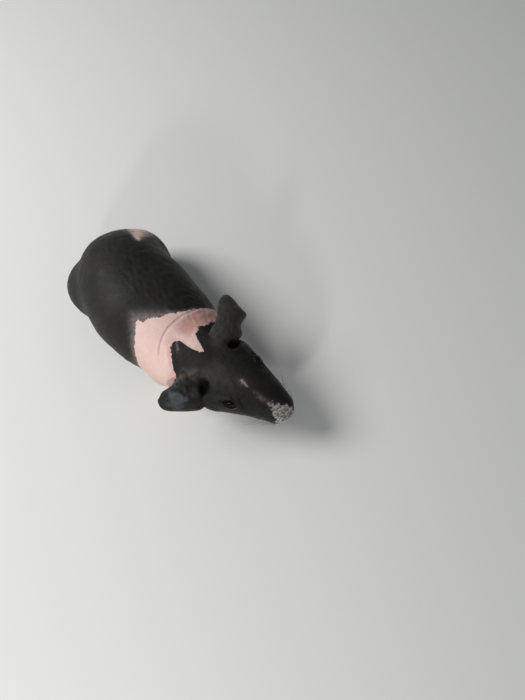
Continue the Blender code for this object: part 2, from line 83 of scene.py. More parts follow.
class Side(Enum):
    """A side of the animal, as the sign of its x."""

    RIGHT = -1
    LEFT = 1


class Foot(Enum):
    """A foot of the animal: its pair and its side."""

    HIND_RIGHT = ("hind", Side.RIGHT)
    HIND_LEFT = ("hind", Side.LEFT)
    FRONT_RIGHT = ("front", Side.RIGHT)
    FRONT_LEFT = ("front", Side.LEFT)


def seen(red: float, green: float, blue: float) -> tuple[float, float, float, float]:
    """A colour as a screen shows it, as linear light.

    Args:
        red, green, blue: From 0 to 255.

    Returns:
        Linear red, green, blue and an alpha of 1.
    """
    light = [((v / 255 + 0.055) / 1.055) ** 2.4 if v > 10 else v / 255 / 12.92 for v in (red, green, blue)]
    return (*light, 1)


def linked(name: str, data: bpy.types.ID) -> Thing:
    """A new object in the scene."""
    thing = bpy.data.objects.new(name, data)
    bpy.context.scene.collection.objects.link(thing)
    return thing


def poured(bm: bmesh.types.BMesh, name: str) -> Mesh:
    """A new mesh of what was made with bmesh, which is freed."""
    mesh = bpy.data.meshes.new(name)
    bm.to_mesh(mesh)
    bm.free()
    return mesh


def carry(mesh: Mesh, name: str, values: Rows) -> None:
    """Gives every corner of a mesh a number."""
    layer = mesh.attributes.new(name, "FLOAT", "POINT")
    layer.data.foreach_set("value", np.asarray(values, np.float32))


def between(before: float, start: float, end: float, after: float, t: float) -> float:
    """One value on the Catmull-Rom curve from start to end."""
    return 0.5 * (
        2 * start
        + (end - before) * t
        + (2 * before - 5 * start + 4 * end - after) * t * t
        + (3 * start - before - 3 * end + after) * t * t * t
    )


def station_at(stations: tuple[Station, ...], share: float) -> list[float]:
    """The station at a share from 0 to 1 of a loft, its first and last ends rounded."""
    first = stations[1][:3] + tuple(-value for value in stations[1][3:])
    last = stations[-2][:3] + tuple(-value for value in stations[-2][3:])
    rounded = (first, *stations, last)
    place = min(max(share, 0), 1) * (len(stations) - 1)
    index = min(int(place), len(stations) - 2)
    return [between(*values, place - index) for values in zip(*rounded[index : index + 4])]


def mirrored(values: tuple) -> tuple:
    """The same place or loft on the other side of the animal."""
    if isinstance(values[0], tuple):
        return tuple(mirrored(row) for row in values)
    return (-values[0], *values[1:])


def sided(values: tuple, side: Side) -> tuple:
    """A place or loft that is given for the left side, on either side."""
    return values if side is Side.LEFT else mirrored(values)


@dataclass
class Clay:
    """A mesh in the making, to which round bodies are added before they are melted into one."""

    name: str

    def __post_init__(self) -> None:
        """Starts empty."""
        self.bm = bmesh.new()

    def take(self, piece: bmesh.types.BMesh) -> None:
        """Adds a body that was made by itself, and frees it."""
        mesh = poured(piece, "piece")
        self.bm.from_mesh(mesh)
        bpy.data.meshes.remove(mesh)

    def ball(self, place: Triple, radii: Triple, frame: Matrix = PLAIN) -> None:
        """Adds an egg of three half sizes."""
        matrix = frame @ Matrix.Translation(place) @ Matrix.Diagonal((*radii, 1))
        piece = bmesh.new()
        bmesh.ops.create_uvsphere(piece, u_segments=40, v_segments=40, radius=1, matrix=matrix)
        self.take(piece)

    def loft(
        self, stations: tuple[Station, ...], frame: Matrix = PLAIN, segments: int = 72, rings: int = 100
    ) -> None:
        """Adds a round-ended body through stations, each ring square to the line of places.

        Args:
            stations: Place, half width, height above and depth below it.
            frame: Where the stations' frame lies in the animal's.
            segments: Corners round a ring.
            rings: Rings from end to end.
        """
        side = Vector((1, 0, 0))
        piece = bmesh.new()
        bmesh.ops.create_uvsphere(piece, u_segments=segments, v_segments=rings, radius=1)
        step, rows = 0.25 / rings, {}
        for vert in piece.verts:
            share = round(math.acos(max(-1, min(1, vert.co.z))) / math.pi, 5)
            if share not in rows:
                here = station_at(stations, share)
                ahead = Vector(station_at(stations, share + step)[:3])
                along = (ahead - Vector(station_at(stations, share - step)[:3])).normalized()
                across = (side - along * along.dot(side)).normalized()
                rows[share] = (Vector(here[:3]), across, along.cross(across), here[3:])
            place, across, up, (wide, above, below) = rows[share]
            angle = math.atan2(vert.co.y, vert.co.x)
            lift = (above if math.sin(angle) > 0 else below) * math.sin(angle)
            vert.co = frame @ (place + across * wide * math.cos(angle) + up * lift)
        bmesh.ops.recalc_face_normals(piece, faces=piece.faces)
        self.take(piece)

    def add(self, mesh: Mesh) -> None:
        """Adds a finished mesh."""
        self.bm.from_mesh(mesh)

    def mesh(self) -> Mesh:
        """Ends the making and returns the mesh."""
        return poured(self.bm, self.name)

    def melted(self, voxel: float, rounds: int) -> Mesh:
        """Ends the making and returns the bodies run together into one smooth closed mesh."""
        thing = linked(self.name, self.mesh())
        remesh = thing.modifiers.new("melt", "REMESH")
        remesh.mode, remesh.voxel_size = "VOXEL", voxel
        smooth = thing.modifiers.new("smooth", "SMOOTH")
        smooth.factor, smooth.iterations = 0.5, rounds
        return baked(thing)


def baked(thing: Thing) -> Mesh:
    """Removes an object and returns its mesh with the modifiers applied."""
    bpy.context.view_layer.update()
    shown = thing.evaluated_get(bpy.context.evaluated_depsgraph_get())
    mesh = bpy.data.meshes.new_from_object(shown)
    bpy.data.objects.remove(thing)
    return mesh


def vectors_of(data: bpy.types.bpy_prop_collection, name: str) -> Rows:
    """One vector of each corner of a mesh, one row each."""
    flat = np.empty(len(data) * 3, np.float32)
    data.foreach_get(name, flat)
    return flat.reshape(-1, 3).astype(float)


def places_of(mesh: Mesh) -> Rows:
    """The places of a mesh's corners, one row each."""
    return vectors_of(mesh.vertices, "co")


def move_to(mesh: Mesh, places: Rows) -> None:
    """Puts a mesh's corners at new places."""
    mesh.vertices.foreach_set("co", places.astype(np.float32).ravel())
    mesh.update()


def within(matrix: Matrix, places: Rows) -> Rows:
    """Places of the animal's frame in another frame."""
    back = np.array(matrix.inverted())
    return places @ back[:3, :3].T + back[:3, 3]


def smoothstep(low: float, high: float, values: Rows) -> Rows:
    """0 up to low, 1 from high on, and a smooth rise between them; low may be the higher one."""
    t = np.clip((values - low) / (high - low), 0, 1)
    return t * t * (3 - 2 * t)


def bell(values: Rows, width: float) -> Rows:
    """1 at 0, falling smoothly to nothing past about twice the width."""
    return np.exp(-((values / width) ** 2))


def distance_to(line: tuple, places: Rows) -> Rows:
    """How far each place is from a line through points, in as many directions as the points have."""
    best = np.full(len(places), 1e9)
    for start, end in zip(line, line[1:]):
        start, way = np.array(start), np.array(end) - np.array(start)
        used = places[:, : len(start)]
        share = np.clip(((used - start) @ way) / (way @ way), 0, 1)
        best = np.minimum(best, np.linalg.norm(used - start - share[:, None] * way, axis=1))
    return best


def away_from(place: tuple, places: Rows, stretch: Triple = (1, 1, 1)) -> Rows:
    """How far each place is from one place, in lengths that may be stretched."""
    return np.linalg.norm((places - np.array(place)) / np.array(stretch), axis=1)


@dataclass
class Swell:
    """A soft random swell over space, of many plane waves about one length."""

    length: float
    seed: int
    waves: int = 14
    stretch: Triple = (1, 1, 1)

    def at(self, places: Rows) -> Rows:
        """Its height at each place, from about -1 to 1."""
        draw = np.random.default_rng(self.seed)
        total = np.zeros(len(places))
        for _ in range(self.waves):
            way = draw.normal(size=3)
            way *= math.tau / self.length * draw.uniform(0.6, 1.5) / np.linalg.norm(way)
            total += np.sin(places @ (way / np.array(self.stretch)) + draw.uniform(0, math.tau))
        return total / math.sqrt(self.waves)


def operator(operation: str, swapped: bool = False) -> Callable[["Value", "Value | float"], "Value"]:
    """A method of Value for one operation of a Math node.

    Args:
        operation: The node's name for it.
        swapped: Whether the other number comes first.

    Returns:
        The method.
    """

    def method(self: "Value", other: "Value | float") -> "Value":
        """Adds the node."""
        pair = (other, self) if swapped else (self, other)
        node = self.paper.node("ShaderNodeMath", {"operation": operation}, dict(enumerate(pair)))
        return Value(self.paper, node.outputs[0])

    return method


class Value:
    """A number, colour or vector of a material; arithmetic on it adds Math nodes."""

    __add__, __radd__ = operator("ADD"), operator("ADD", True)
    __sub__, __rsub__ = operator("SUBTRACT"), operator("SUBTRACT", True)
    __mul__, __rmul__ = operator("MULTIPLY"), operator("MULTIPLY", True)
    least, most = operator("MINIMUM"), operator("MAXIMUM")

    def __init__(self, paper: "Paper", socket: bpy.types.NodeSocket) -> None:
        """Wraps a socket that a node gives."""
        self.paper, self.socket = paper, socket

    def __neg__(self) -> "Value":
        """Its negative."""
        return self * -1

    def fade(self, low: float, high: float) -> "Value":
        """0 up to low, 1 from high on, and a smooth rise between them."""
        values = {"Value": self, "From Min": low, "From Max": high}
        node = self.paper.node("ShaderNodeMapRange", {"interpolation_type": "SMOOTHSTEP"}, values)
        return Value(self.paper, node.outputs["Result"])


class Paper:
    """A new material and its node tree."""

    def __init__(self, name: str) -> None:
        """Starts with a Principled shader."""
        self.material = bpy.data.materials.new(name)
        self.material.use_nodes = True
        self.tree = self.material.node_tree
        self.shader = self.tree.nodes["Principled BSDF"]

    def node(self, kind: str, settings: dict, values: dict) -> bpy.types.Node:
        """Adds a node of any kind.

        Args:
            kind: Its type.
            settings: Its own settings, set first.
            values: A number, colour or Value for each socket, by name or place.

        Returns:
            The node.
        """
        made = self.tree.nodes.new(kind)
        for name, setting in settings.items():
            setattr(made, name, setting)
        for name, value in values.items():
            self.put(made.inputs[name], value)
        return made

    def put(self, socket: bpy.types.NodeSocket, value: object) -> None:
        """Links or sets one socket."""
        if isinstance(value, Value):
            self.tree.links.new(value.socket, socket)
        else:
            socket.default_value = value

    def finish(self, **values: object) -> bpy.types.Material:
        """Sets the shader's sockets, their names written with low lines, and returns the material."""
        for name, value in values.items():
            self.put(self.shader.inputs[name.replace("_", " ").title().replace("Ior", "IOR")], value)
        return self.material

    def attribute(self, name: str) -> Value:
        """A number that the mesh's corners carry."""
        return Value(self, self.node("ShaderNodeAttribute", {"attribute_name": name}, {}).outputs["Fac"])

    def space(self, scale: Triple = (1, 1, 1)) -> Value:
        """Object coordinates, stretched."""
        source = self.node("ShaderNodeTexCoord", {}, {})
        place = Value(self, source.outputs["Object"])
        mapping = self.node("ShaderNodeMapping", {}, {"Vector": place, "Scale": scale})
        return Value(self, mapping.outputs[0])

    def noise(self, place: Value, scale: float, detail: float = 3, rough: float = 0.55) -> Value:
        """Cloudy noise from 0 to 1, its scale in lumps per metre."""
        values = {"Vector": place, "Scale": scale, "Detail": detail, "Roughness": rough}
        return Value(self, self.node("ShaderNodeTexNoise", {}, values).outputs[0])

    def cells(self, place: Value, scale: float, feature: str = "DISTANCE_TO_EDGE") -> Value:
        """Distance inside small cells, to their edges or their middles."""
        node = self.node("ShaderNodeTexVoronoi", {"feature": feature}, {"Vector": place, "Scale": scale})
        return Value(self, node.outputs["Distance"])

    def blend(self, share: Value | float, first: object, second: object) -> Value:
        """The first colour turning into the second."""
        node = self.node("ShaderNodeMix", {"data_type": "RGBA"}, {0: share, 6: first, 7: second})
        return Value(self, node.outputs[2])

    def bump(self, height: Value, deep: float) -> Value:
        """Relief as deep as said in metres."""
        values = {"Height": height, "Distance": deep, "Strength": 1}
        return Value(self, self.node("ShaderNodeBump", {}, values).outputs["Normal"])


# The round forms of the body, in the animal's frame; those of the head and ears are in the head's.
TORSO = (
    (23, 62, 38, 0, 0, 0), (20, 57, 38.5, 22, 17, 15), (12, 46, 39, 33, 29.5, 25), (2, 32, 40, 39, 37, 30),
    (-4, 15, 40, 42.5, 40, 32), (-5.5, -2, 40, 43.8, 40.5, 32.5), (-5, -18, 40, 42.6, 39, 32),
    (-3.7, -34, 40.5, 40.3, 36, 30.5), (-3, -50, 41.5, 37, 32.5, 29), (-2, -64, 44, 34, 28, 28.5),
    (0, -78, 46, 29, 24, 26), (3, -90, 47, 22, 18, 21), (5, -98, 46, 0, 0, 0),
)
SKULL = (
    (0, 22, -6, 0, 0, 0), (0, 17, -5, 15, 14, 13), (0, 8, -3, 24.5, 18, 20), (0, -3, -1, 27, 17.5, 24.5),
    (0, -14, 0, 26.3, 17, 26), (0, -25, 0.5, 23.3, 16.2, 25.5), (0, -35, 0.5, 19.4, 15, 23.5),
    (0, -45, 0, 15.8, 13.6, 20.5), (0, -54, -1, 12.8, 11.8, 16.5), (0, -61, -2, 9.6, 9, 11.5),
    (0, -65, -2.5, 0, 0, 0),
)
SWELLINGS = (
    ((-23, 37.5, 32), (26.6, 31, 23)),  # right haunch
    ((22.5, 38, 32), (21.5, 29.5, 23)),  # left haunch
    ((-24, -53, 34), (16, 20, 23)),  # right shoulder
    ((19, -53, 34), (16, 20, 23)),  # left shoulder
)
HEAD_SWELLINGS = (
    ((16, -5, -5), (13.5, 19, 15)),  # cheek
    ((6.2, -55, -4.6), (6.4, 8.2, 7.4)),  # whisker pad
    ((12.5, -19, 7), (8.5, 13, 6.8)),  # brow
    ((2, -52, -12), (6.5, 6.5, 6)),  # chin
    ((1.6, -61.5, 1.6), (4.6, 3.6, 4.6)),  # nose
    ((16.6, -19.8, 6.6), (7.3, 9.4, 7.2)),  # round the eye
)
EAR_MOUNDS = (
    ((14.2, 9.6, 10), (9.8, 9.4, 6)),  # left
    ((-15, 12.5, 7.2), (8.5, 9, 5.6)),  # right
    ((-20.5, 17.2, 8.4), (5, 4.6, 3.8)),  # the web behind it
)
LEGS = (
    (
        (29, 9, 27, 0, 0, 0), (28.5, 14, 24, 9, 9, 9), (28, 24, 18, 8.5, 8.5, 9), (27, 34, 12, 6.8, 6.5, 7),
        (26.5, 40, 8.5, 5, 5, 5.5), (26.5, 43.5, 6.5, 0, 0, 0),
    ),
    (
        (19.5, -50, 34, 0, 0, 0), (19.5, -53, 29, 9, 12, 12), (19, -57.5, 20, 7.6, 8.5, 9),
        (18.2, -62, 13, 5.4, 5.8, 6.2), (17.8, -64.5, 8, 4.6, 4.6, 4.6), (17.8, -65.5, 5, 0, 0, 0),
    ),
)
EARS = {
    Side.LEFT: (
        ((6, 16, 2), (12, -2, -2), 2, 3), ((11, 19, 11), (20, 1, 4), 4, 2.6),
        ((18.5, 20.5, 16), (30, -1, 6), 5, 2), ((26, 21.5, 16.5), (36, 4, 7), 5, 1.6),
        ((32, 24, 15.5), (46, 4.5, 5.5), 4.5, 1.5), ((38, 27, 13), (48.5, 10, 5), 3.5, 1.4),
        ((45, 28, 10), (51, 18, 6), 2, 1.3), ((49.5, 27.5, 7.5), (51.7, 24, 7), 0.3, 1),
    ),
    Side.RIGHT: (
        ((-8, 14, 2), (-18, -6, -6), 2, 3), ((-17, 20, 10), (-26.5, -7, -3), 4, 2.6),
        ((-24.5, 21.5, 11), (-33.5, -4.5, -5), 5, 2), ((-30, 22, 9.5), (-39, 2.5, -7), 5, 1.6),
        ((-34, 23.5, 6.5), (-42.5, 8.5, -8), 4, 1.5), ((-37.5, 25.5, 3), (-45.5, 13.5, -8), 3, 1.4),
        ((-41, 25.5, -1), (-47, 18, -7), 2, 1.3), ((-44, 25.2, -4.5), (-46.3, 21.5, -6.5), 0.3, 1),
    ),
}


@dataclass
class FootForm:
    """The sizes of one pair of feet, in a frame on the floor under the ankle, toes toward -y."""

    sole: tuple[Station, ...]
    ankle: tuple[Station, ...]
    toes: tuple[tuple[Pair, Pair], ...]
    toe_radius: Pair
    claw_length: float
    claw_radius: float
    stances: dict[Side, tuple[Pair, float]]
    claw_root: float = 1.6  # how much of a claw is in its toe

    def stance(self, side: Side) -> Matrix:
        """The frame of the foot on that side."""
        (x, y), turn = self.stances[side]
        outward = math.radians(turn * side.value)
        return Matrix.Translation((x, y, 0)) @ Matrix.Rotation(outward, 4, "Z")

    def flesh(self, clay: Clay, side: Side) -> None:
        """Adds the foot and its toes.

        Args:
            clay: What they are added to.
            side: Which foot of the pair.
        """
        frame = self.stance(side)
        clay.loft(self.sole, frame, segments=40, rings=48)
        clay.loft(self.ankle, frame, segments=40, rings=40)
        root, tip = self.toe_radius
        for (x0, y0), (x1, y1) in self.toes:
            rows = (
                (-0.3, root, 0), (0, root, root), (0.3, root * 0.98, root * 0.9),
                (0.5, root * 1.08, root * 0.98), (0.68, root * 0.95, root * 0.84),
                (0.85, tip * 1.1, tip * 1.06), (1, tip, 0),
            )
            toe = tuple(
                (x0 + (x1 - x0) * t, y0 + (y1 - y0) * t, high, size, size, size * 1.1)
                for t, high, size in rows
            )
            clay.loft(toe, frame, segments=28, rings=32)

    def claws(self, clay: Clay, side: Side) -> None:
        """Adds the curved claws at the toes' tips.

        Args:
            clay: What they are added to.
            side: Which foot of the pair.
        """
        for (x0, y0), (x1, y1) in self.toes:
            way = Vector((x1 - x0, y1 - y0, 0)).normalized()
            root = Vector((x1, y1, self.toe_radius[1] * 1.15)) - way * self.claw_root
            rows = (
                (0, 0, 0), (0.04, 0, 0.9), (0.2, 0.06, 1), (0.45, -0.05, 0.94), (0.7, -0.35, 0.72),
                (0.9, -0.85, 0.42), (1, -1.15, 0),
            )
            claw = tuple(
                (
                    *(root + way * self.claw_length * t + Vector((0, 0, rise))),
                    self.claw_radius * size * 0.8,
                    self.claw_radius * size,
                    self.claw_radius * size * 0.9,
                )
                for t, rise, size in rows
            )
            clay.loft(claw, self.stance(side), segments=20, rings=24)


FEET = {
    "hind": FootForm(
        sole=(
            (0, 6.5, 5.2, 0, 0, 0), (0, 4, 5.2, 4.2, 4.2, 5.2), (0, -4, 4.6, 5, 4.8, 4.8),
            (0, -14, 3.8, 5.4, 3.7, 4), (0, -24, 3.2, 6.2, 2.9, 3.4), (0, -29, 2.8, 5.4, 2.3, 3),
            (0, -32, 2.4, 0, 0, 0),
        ),
        ankle=(
            (0, 3.5, 3, 0, 0, 0), (0, 2.5, 5, 4.4, 4.4, 4.4), (0, -0.5, 9, 4.9, 4.9, 5.2),
            (0, -5, 14, 5, 5, 5), (0, -7, 16, 0, 0, 0),
        ),
        toes=(((-4, -26), (-5.8, -35.5)), ((0, -27), (0, -39.5)), ((4, -26), (5.8, -35.5))),
        toe_radius=(2.2, 1.75),
        claw_length=5.6,
        claw_radius=1.05,
        stances={Side.RIGHT: ((-27, 42), 7), Side.LEFT: ((25.5, 40.5), 4)},
    ),
    "front": FootForm(
        sole=(
            (0, 5.5, 4.6, 0, 0, 0), (0, 3.5, 4.6, 3.8, 3.6, 4.4), (0, -1, 4.2, 4.7, 3.8, 4.2),
            (0, -6, 3.4, 5.6, 3.1, 3.5), (0, -10.5, 2.7, 5.4, 2.3, 2.8), (0, -13, 2.2, 0, 0, 0),
        ),
        ankle=(
            (0, 1, 2.5, 0, 0, 0), (0, 1, 4.5, 4.2, 4.2, 4.2), (0, 1.2, 9, 4.6, 4.6, 4.8),
            (-0.2, 3, 15, 4.8, 4.8, 5), (-0.2, 4, 17.5, 0, 0, 0),
        ),
        toes=(
            ((-4.1, -8), (-6.6, -15)), ((-1.45, -9.5), (-2.3, -19)), ((1.45, -9.5), (2.3, -19)),
            ((4.1, -8), (6.6, -15)),
        ),
        toe_radius=(1.85, 1.5),
        claw_length=4.6,
        claw_radius=0.85,
        stances={Side.RIGHT: ((-17.8, -64), 5), Side.LEFT: ((16.8, -66), 3)},
    ),
}


@dataclass
class EarForm:
    """One ear: a thin arched flap through rows of rear edge, front edge, arch and thickness."""

    side: Side
    columns: int = 56
    steps: int = 7

    def rows(self) -> list[tuple[Vector, Vector, float, float]]:
        """The rows, with finer ones between them."""
        rows = EARS[self.side]
        padded, fine = (rows[0], *rows, rows[-1]), []
        for index in range(len(rows) - 1):
            four = padded[index : index + 4]
            for step in range(self.steps + (index == len(rows) - 2)):
                t = step / self.steps
                rear = Vector([between(*v, t) for v in zip(*(row[0] for row in four))])
                front = Vector([between(*v, t) for v in zip(*(row[1] for row in four))])
                arch, thick = (between(*(row[k] for row in four), t) for k in (2, 3))
                fine.append((rear, front, arch, thick))
        return fine

    def mesh(self) -> Mesh:
        """The closed flap, drawn out ring by ring from its root to its tip."""
        fine = self.rows()
        bm = bmesh.new()
        ring = bmesh.ops.create_circle(bm, cap_ends=False, segments=self.columns, radius=1)["verts"]
        for index, (rear, front, arch, thick) in enumerate(fine):
            if index:
                edges = list({e for v in ring for e in v.link_edges if all(w in ring for w in e.verts)})
                drawn = bmesh.ops.extrude_edge_only(bm, edges=edges)["geom"]
                fresh = {v for v in drawn if isinstance(v, bmesh.types.BMVert)}
                after = []
                for vert in ring:
                    links = (edge.other_vert(vert) for edge in vert.link_edges)
                    after.append(next(v for v in links if v in fresh))
                ring = after
            before, ahead = fine[max(index - 1, 0)], fine[min(index + 1, len(fine) - 1)]
            along = (ahead[0] + ahead[1] - before[0] - before[1]).normalized()
            across = front - rear
            up = along.cross(across).normalized()
            up = up if up.z > 0 else -up
            for column, vert in enumerate(ring):
                angle = math.tau * column / self.columns
                share = 0.5 - 0.5 * math.cos(angle)
                lift = 0.5 * thick * math.copysign(abs(math.sin(angle)) ** 0.6, math.sin(angle))
                arched = arch * 4 * share * (1 - share) + lift
                vert.co = HEAD @ (rear + across * share + up * arched)
        bmesh.ops.holes_fill(bm, edges=bm.edges, sides=0)
        bmesh.ops.triangulate(bm, faces=bm.faces)
        bmesh.ops.recalc_face_normals(bm, faces=bm.faces)
        return poured(bm, "ear")


@dataclass
class EyeForm:
    """Where an eye lies in the head and how its lids open."""

    side: Side
    place: Triple = (16.6, -19.8, 6.6)
    radius: float = 6.2
    middle: Pair = (-0.5, 0.7)
    lids: tuple[Pair, ...] = (
        (-6.1, -1.9), (-5.4, 0.2), (-4.2, 2.3), (-2.1, 4.1), (0.5, 4.5), (3.3, 3.1), (5.5, 0.8),
        (4.4, -1.1), (2.6, -2.4), (-0.5, -2.9), (-4.3, -2.6),
    )
    lid: float = 0.8
    forward: float = math.radians(12)
    upward: float = math.radians(30)

    def frame(self) -> Matrix:
        """Its frame: +z out between the lids, +x toward the nose, +y up on the right side."""
        flat = math.cos(self.upward)
        sideways = self.side.value * math.cos(self.forward) * flat
        out = Vector((sideways, -math.sin(self.forward), math.sin(self.upward)))
        along = Vector((0, -1, -0.12))
        along = (along - out * along.dot(out)).normalized()
        turn = Matrix((along, out.cross(along), out)).transposed().to_4x4()
        return HEAD @ Matrix.Translation(sided(self.place, self.side)) @ turn

    def opening(self, local: Rows) -> Rows:
        """How far out of the opening places are: below 1 inside it, above 1 on the lids."""
        ahead = local[:, 0] - self.middle[0]
        up = -self.side.value * local[:, 1] - self.middle[1]
        edge = np.array(self.lids) - np.array(self.middle)
        turns = np.arctan2(edge[:, 1], edge[:, 0])
        nearness = np.interp(np.arctan2(up, ahead), turns, 1 / np.hypot(*edge.T), period=math.tau)
        return np.where(local[:, 2] > 0, np.hypot(ahead, up) * nearness, OUTSIDE)


@dataclass
class Fold:
    """A crease of the skin along a line, with a soft swelling to both sides."""

    line: tuple[Triple, ...]
    width: float
    depth: float
    swell: float = 0.45
    fading: float = 9  # how far from its ends it fades

    def height(self, places: Rows) -> Rows:
        """What it adds to the skin's height at each place."""
        away = distance_to(self.line, places)
        nearer = np.minimum(away_from(self.line[0], places), away_from(self.line[-1], places))
        taper = 1 - 0.75 * smoothstep(0, self.fading, self.fading - nearer)
        crease = -bell(away, self.width) + self.swell * bell(away - 2.3 * self.width, 1.3 * self.width)
        return self.depth * crease * taper


# In the animal's frame.
BODY_FOLDS = (
    Fold(((27, -48.5, 60), (20, -47.5, 66), (13.5, -47.7, 69.6), (5.9, -47.1, 72.2), (-1.7, -47.6, 73.1),
          (-8.9, -48.4, 72.7), (-15.3, -50.3, 70.9), (-20.8, -53.1, 67.9), (-24.5, -56.1, 65.8),
          (-27, -58, 62)), 0.8, 0.5, 0.1),
    Fold(((11, -55.5, 69.8), (6, -55, 70.9), (1, -56, 71.5)), 2.8, 0.6, 0),
    Fold(((-26, -70, 57), (-22, -66, 62), (-17, -62.5, 66.5)), 1.2, 0.3),
    Fold(((-36, -32, 20), (-40, -30, 28), (-41, -34, 36)), 1.8, 1.2),
    Fold(((34, -32, 20), (36, -30, 28), (36, -34, 36)), 1.8, 1.2),
    Fold(((-40, 6, 18), (-46, 8, 28), (-47.5, 14, 40), (-43, 24, 54)), 2.6, 0.2, 0),
    Fold(((37, 6, 18), (41, 8, 28), (42, 14, 40), (38, 24, 54)), 2.6, 0.3, 0.1),
    Fold(((-24, -80, 30), (-14, -84, 22), (0, -84, 19), (14, -80, 22), (22, -74, 30)),
         1.6, 1),
    Fold(((-30, -70, 40), (-28, -74, 28), (-18, -75, 18)), 1.4, 0.8),
    Fold(((28, -66, 40), (26, -68, 28), (18, -70, 18)), 1.4, 0.8),
)
# Where haunch and trunk run into each other without an edge.
HAUNCH_WAISTS = (
    ((-46, 12, 36), (-42.5, 24, 53), (-36, 29, 61), (-30, 40, 62), (-24, 48, 64)),
    ((41, 12, 36), (38, 24, 53), (32, 30, 60), (27, 42, 61)),
)
# In the head's frame, for the left side; the right side mirrors them.
HEAD_FOLDS = (
    Fold(((24, -6, 8), (24.5, -11, 5.5), (25, -15, 2.5)), 0.8, 0.35),
    Fold(((23, -28, 3), (20.5, -34, 1), (17.5, -41, -1.5)), 1.1, 0.3),
    Fold(((10, -20, 16), (13.5, -26.5, 13), (17, -31, 8.5)), 1.3, 0.12),
    Fold(((16, 8, 13), (18, 1, 13), (18.5, -5, 12)), 1.2, 0.5),
    Fold(((12.5, 12, 15), (14, 4, 15), (14, -2, 14.5)), 1, 0.35),
    Fold(((20, -50, -16), (12, -46, -19), (5, -40, -22)), 1.2, 0.4),
    Fold(((11.5, -51, 6.4), (11.2, -53.4, 5.5), (10.6, -55.2, 5)), 0.5, 0.3),
)
MOUTH = ((12.2, -47.5, -12.6), (10.8, -53.5, -11.6), (9, -58.6, -10.7), (4.9, -61.6, -9.9), (0, -62.6, -9.3))
LIPS = tuple(mirrored(place) for place in MOUTH[:-1]) + MOUTH[::-1]
LIP_CLEFT = ((0, -64.6, -0.5), (0, -64.4, -4.5), (0, -63, -9.3))
NOSTRIL = ((3.2, -64.6, 1), (1.5, 2, 1.25))
EAR_PIT = (19.9, 1.2, 6.5)
EAR_PIT_LONG, EAR_PIT_WIDE, EAR_PIT_DEEP = 6.9, 5.1, 6.8
EAR_PIT_WAY = (0.8, -0.6)
PIT_SHADE = ((19, 0.9, 4.2), (6.2, 5.2, 8))  # where the cup is darkest and how far each way
# Ridges (+) and hollows (-) of the ears seen from over the head: line, width and height.
EAR_RELIEF = {
    Side.RIGHT: (
        (((-28, 21.8), (-26, 20.3), (-21.7, 17.6), (-17.6, 15.1), (-14.7, 12.8)), 2.6, 0.35),
        (((-28.6, 18.2), (-25.8, 16.6), (-22, 14), (-16.5, 10.8)), 1, -0.7),
        (((-29, 13.9), (-22.7, 10.5), (-17.2, 8)), 1.3, 0.6), (((-22, 18.4), (-20.5, 17.4)), 2, 0.9),
        (((-27.7, 12.9), (-27.9, 12.4)), 0.9, 0.7), (((-29.3, 10.9), (-29.6, 10.2)), 0.8, 0.6),
        (((-33.6, 15), (-33.2, 14.4)), 0.9, 0.4), (((-33.7, 10.7), (-33.5, 10)), 0.8, 0.5),
        (((-31, 6.5), (-32, 10), (-31, 13)), 1.4, -0.6), (((-26.5, -2.5), (-28, 3), (-28.5, 7)), 1.5, 0.5),
        (((-37, 10.5), (-39.5, 15.5), (-40.5, 19)), 3.2, -1.1),
    ),
    Side.LEFT: (
        (((24, 13), (31, 17), (40, 21)), 1.4, 0.3), (((28.2, 14.2), (29, 14)), 1.4, -0.9),
        (((27, 9), (35, 12), (44, 17)), 1.6, -0.35), (((25.9, 3.3), (27.7, 6.6), (31, 9)), 1, 0.6),
        (((30, 3.5), (33, 7), (40, 10)), 1.4, 0.3), (((19, 15), (22, 12), (24.5, 8)), 1.3, -0.7),
        (((21.5, 5), (23.5, 9)), 1, 0.5),
    ),
}

# How far back the pink collar reaches at each x, and how far forward, seen from above.
COLLAR_REAR = (
    (-40.5, -46.1), (-39.5, -44.1), (-36.3, -40.1), (-32.2, -36.2), (-27.9, -32.6), (-24.5, -29.9),
    (-22.2, -28.6), (-20.9, -30.2), (-20.1, -32.4), (-18.8, -33.2), (-15.3, -33.4), (-11, -36.3),
    (-6.7, -39), (-0.7, -40.7), (5.6, -44.1), (12.7, -46.4), (22.6, -48.5), (29.1, -50.1), (38, -50.5),
)
COLLAR_FRONT = (
    (-45, -80), (-25.9, -76.4), (-24.1, -71.5), (-19.5, -64.4), (-16.5, -60), (-14.1, -59),
    (-10.8, -59.6), (-8.4, -61.5), (-7.5, -63.9), (-6.4, -68.3), (-4.9, -73.2), (-2.9, -76.8), (0.3, -78.3),
    (1.3, -73.6), (2, -69.3), (2.9, -66), (5.9, -63.2), (8.1, -61.4), (12.4, -61.6), (16.2, -62.8),
    (20.3, -62), (24, -64), (30, -69), (45, -76),
)
TAIL_PATCH = ((21.5, 31.5, 69), (32, 58, 44), 3.2, 16)  # from, to, and how wide at both
NAPE_STREAK = ((-10.6, -60.2, 70.4), (-14.2, -66.2, 68.6))
BLAZE = ((-2.6, -18.6), (-3.2, -21), (-4.1, -24.2))
STREAK = ((-4, -23), (-4.4, -26.5), (-5, -33), (-5.4, -39), (-4.9, -46))
# Painted shade on the black of the head: where it is darkest, how far and how much; for the left, mirrored on
# the right.
PAINTED_SHADE_SPOTS = (((19.2, -7.1, 11.5), 8, 1), ((25.3, -9.2, 5.4), 9, 1), ((22, -16, -2), 8, 0.6))
# How far to the left the pale fur of the nose reaches, at each y of the head.
PALE_NOSE = ((-66, 4.6), (-62, 3.4), (-58, 1.6), (-54, -0.4), (-50, -2.4), (-46, -3.9), (-43, -5))


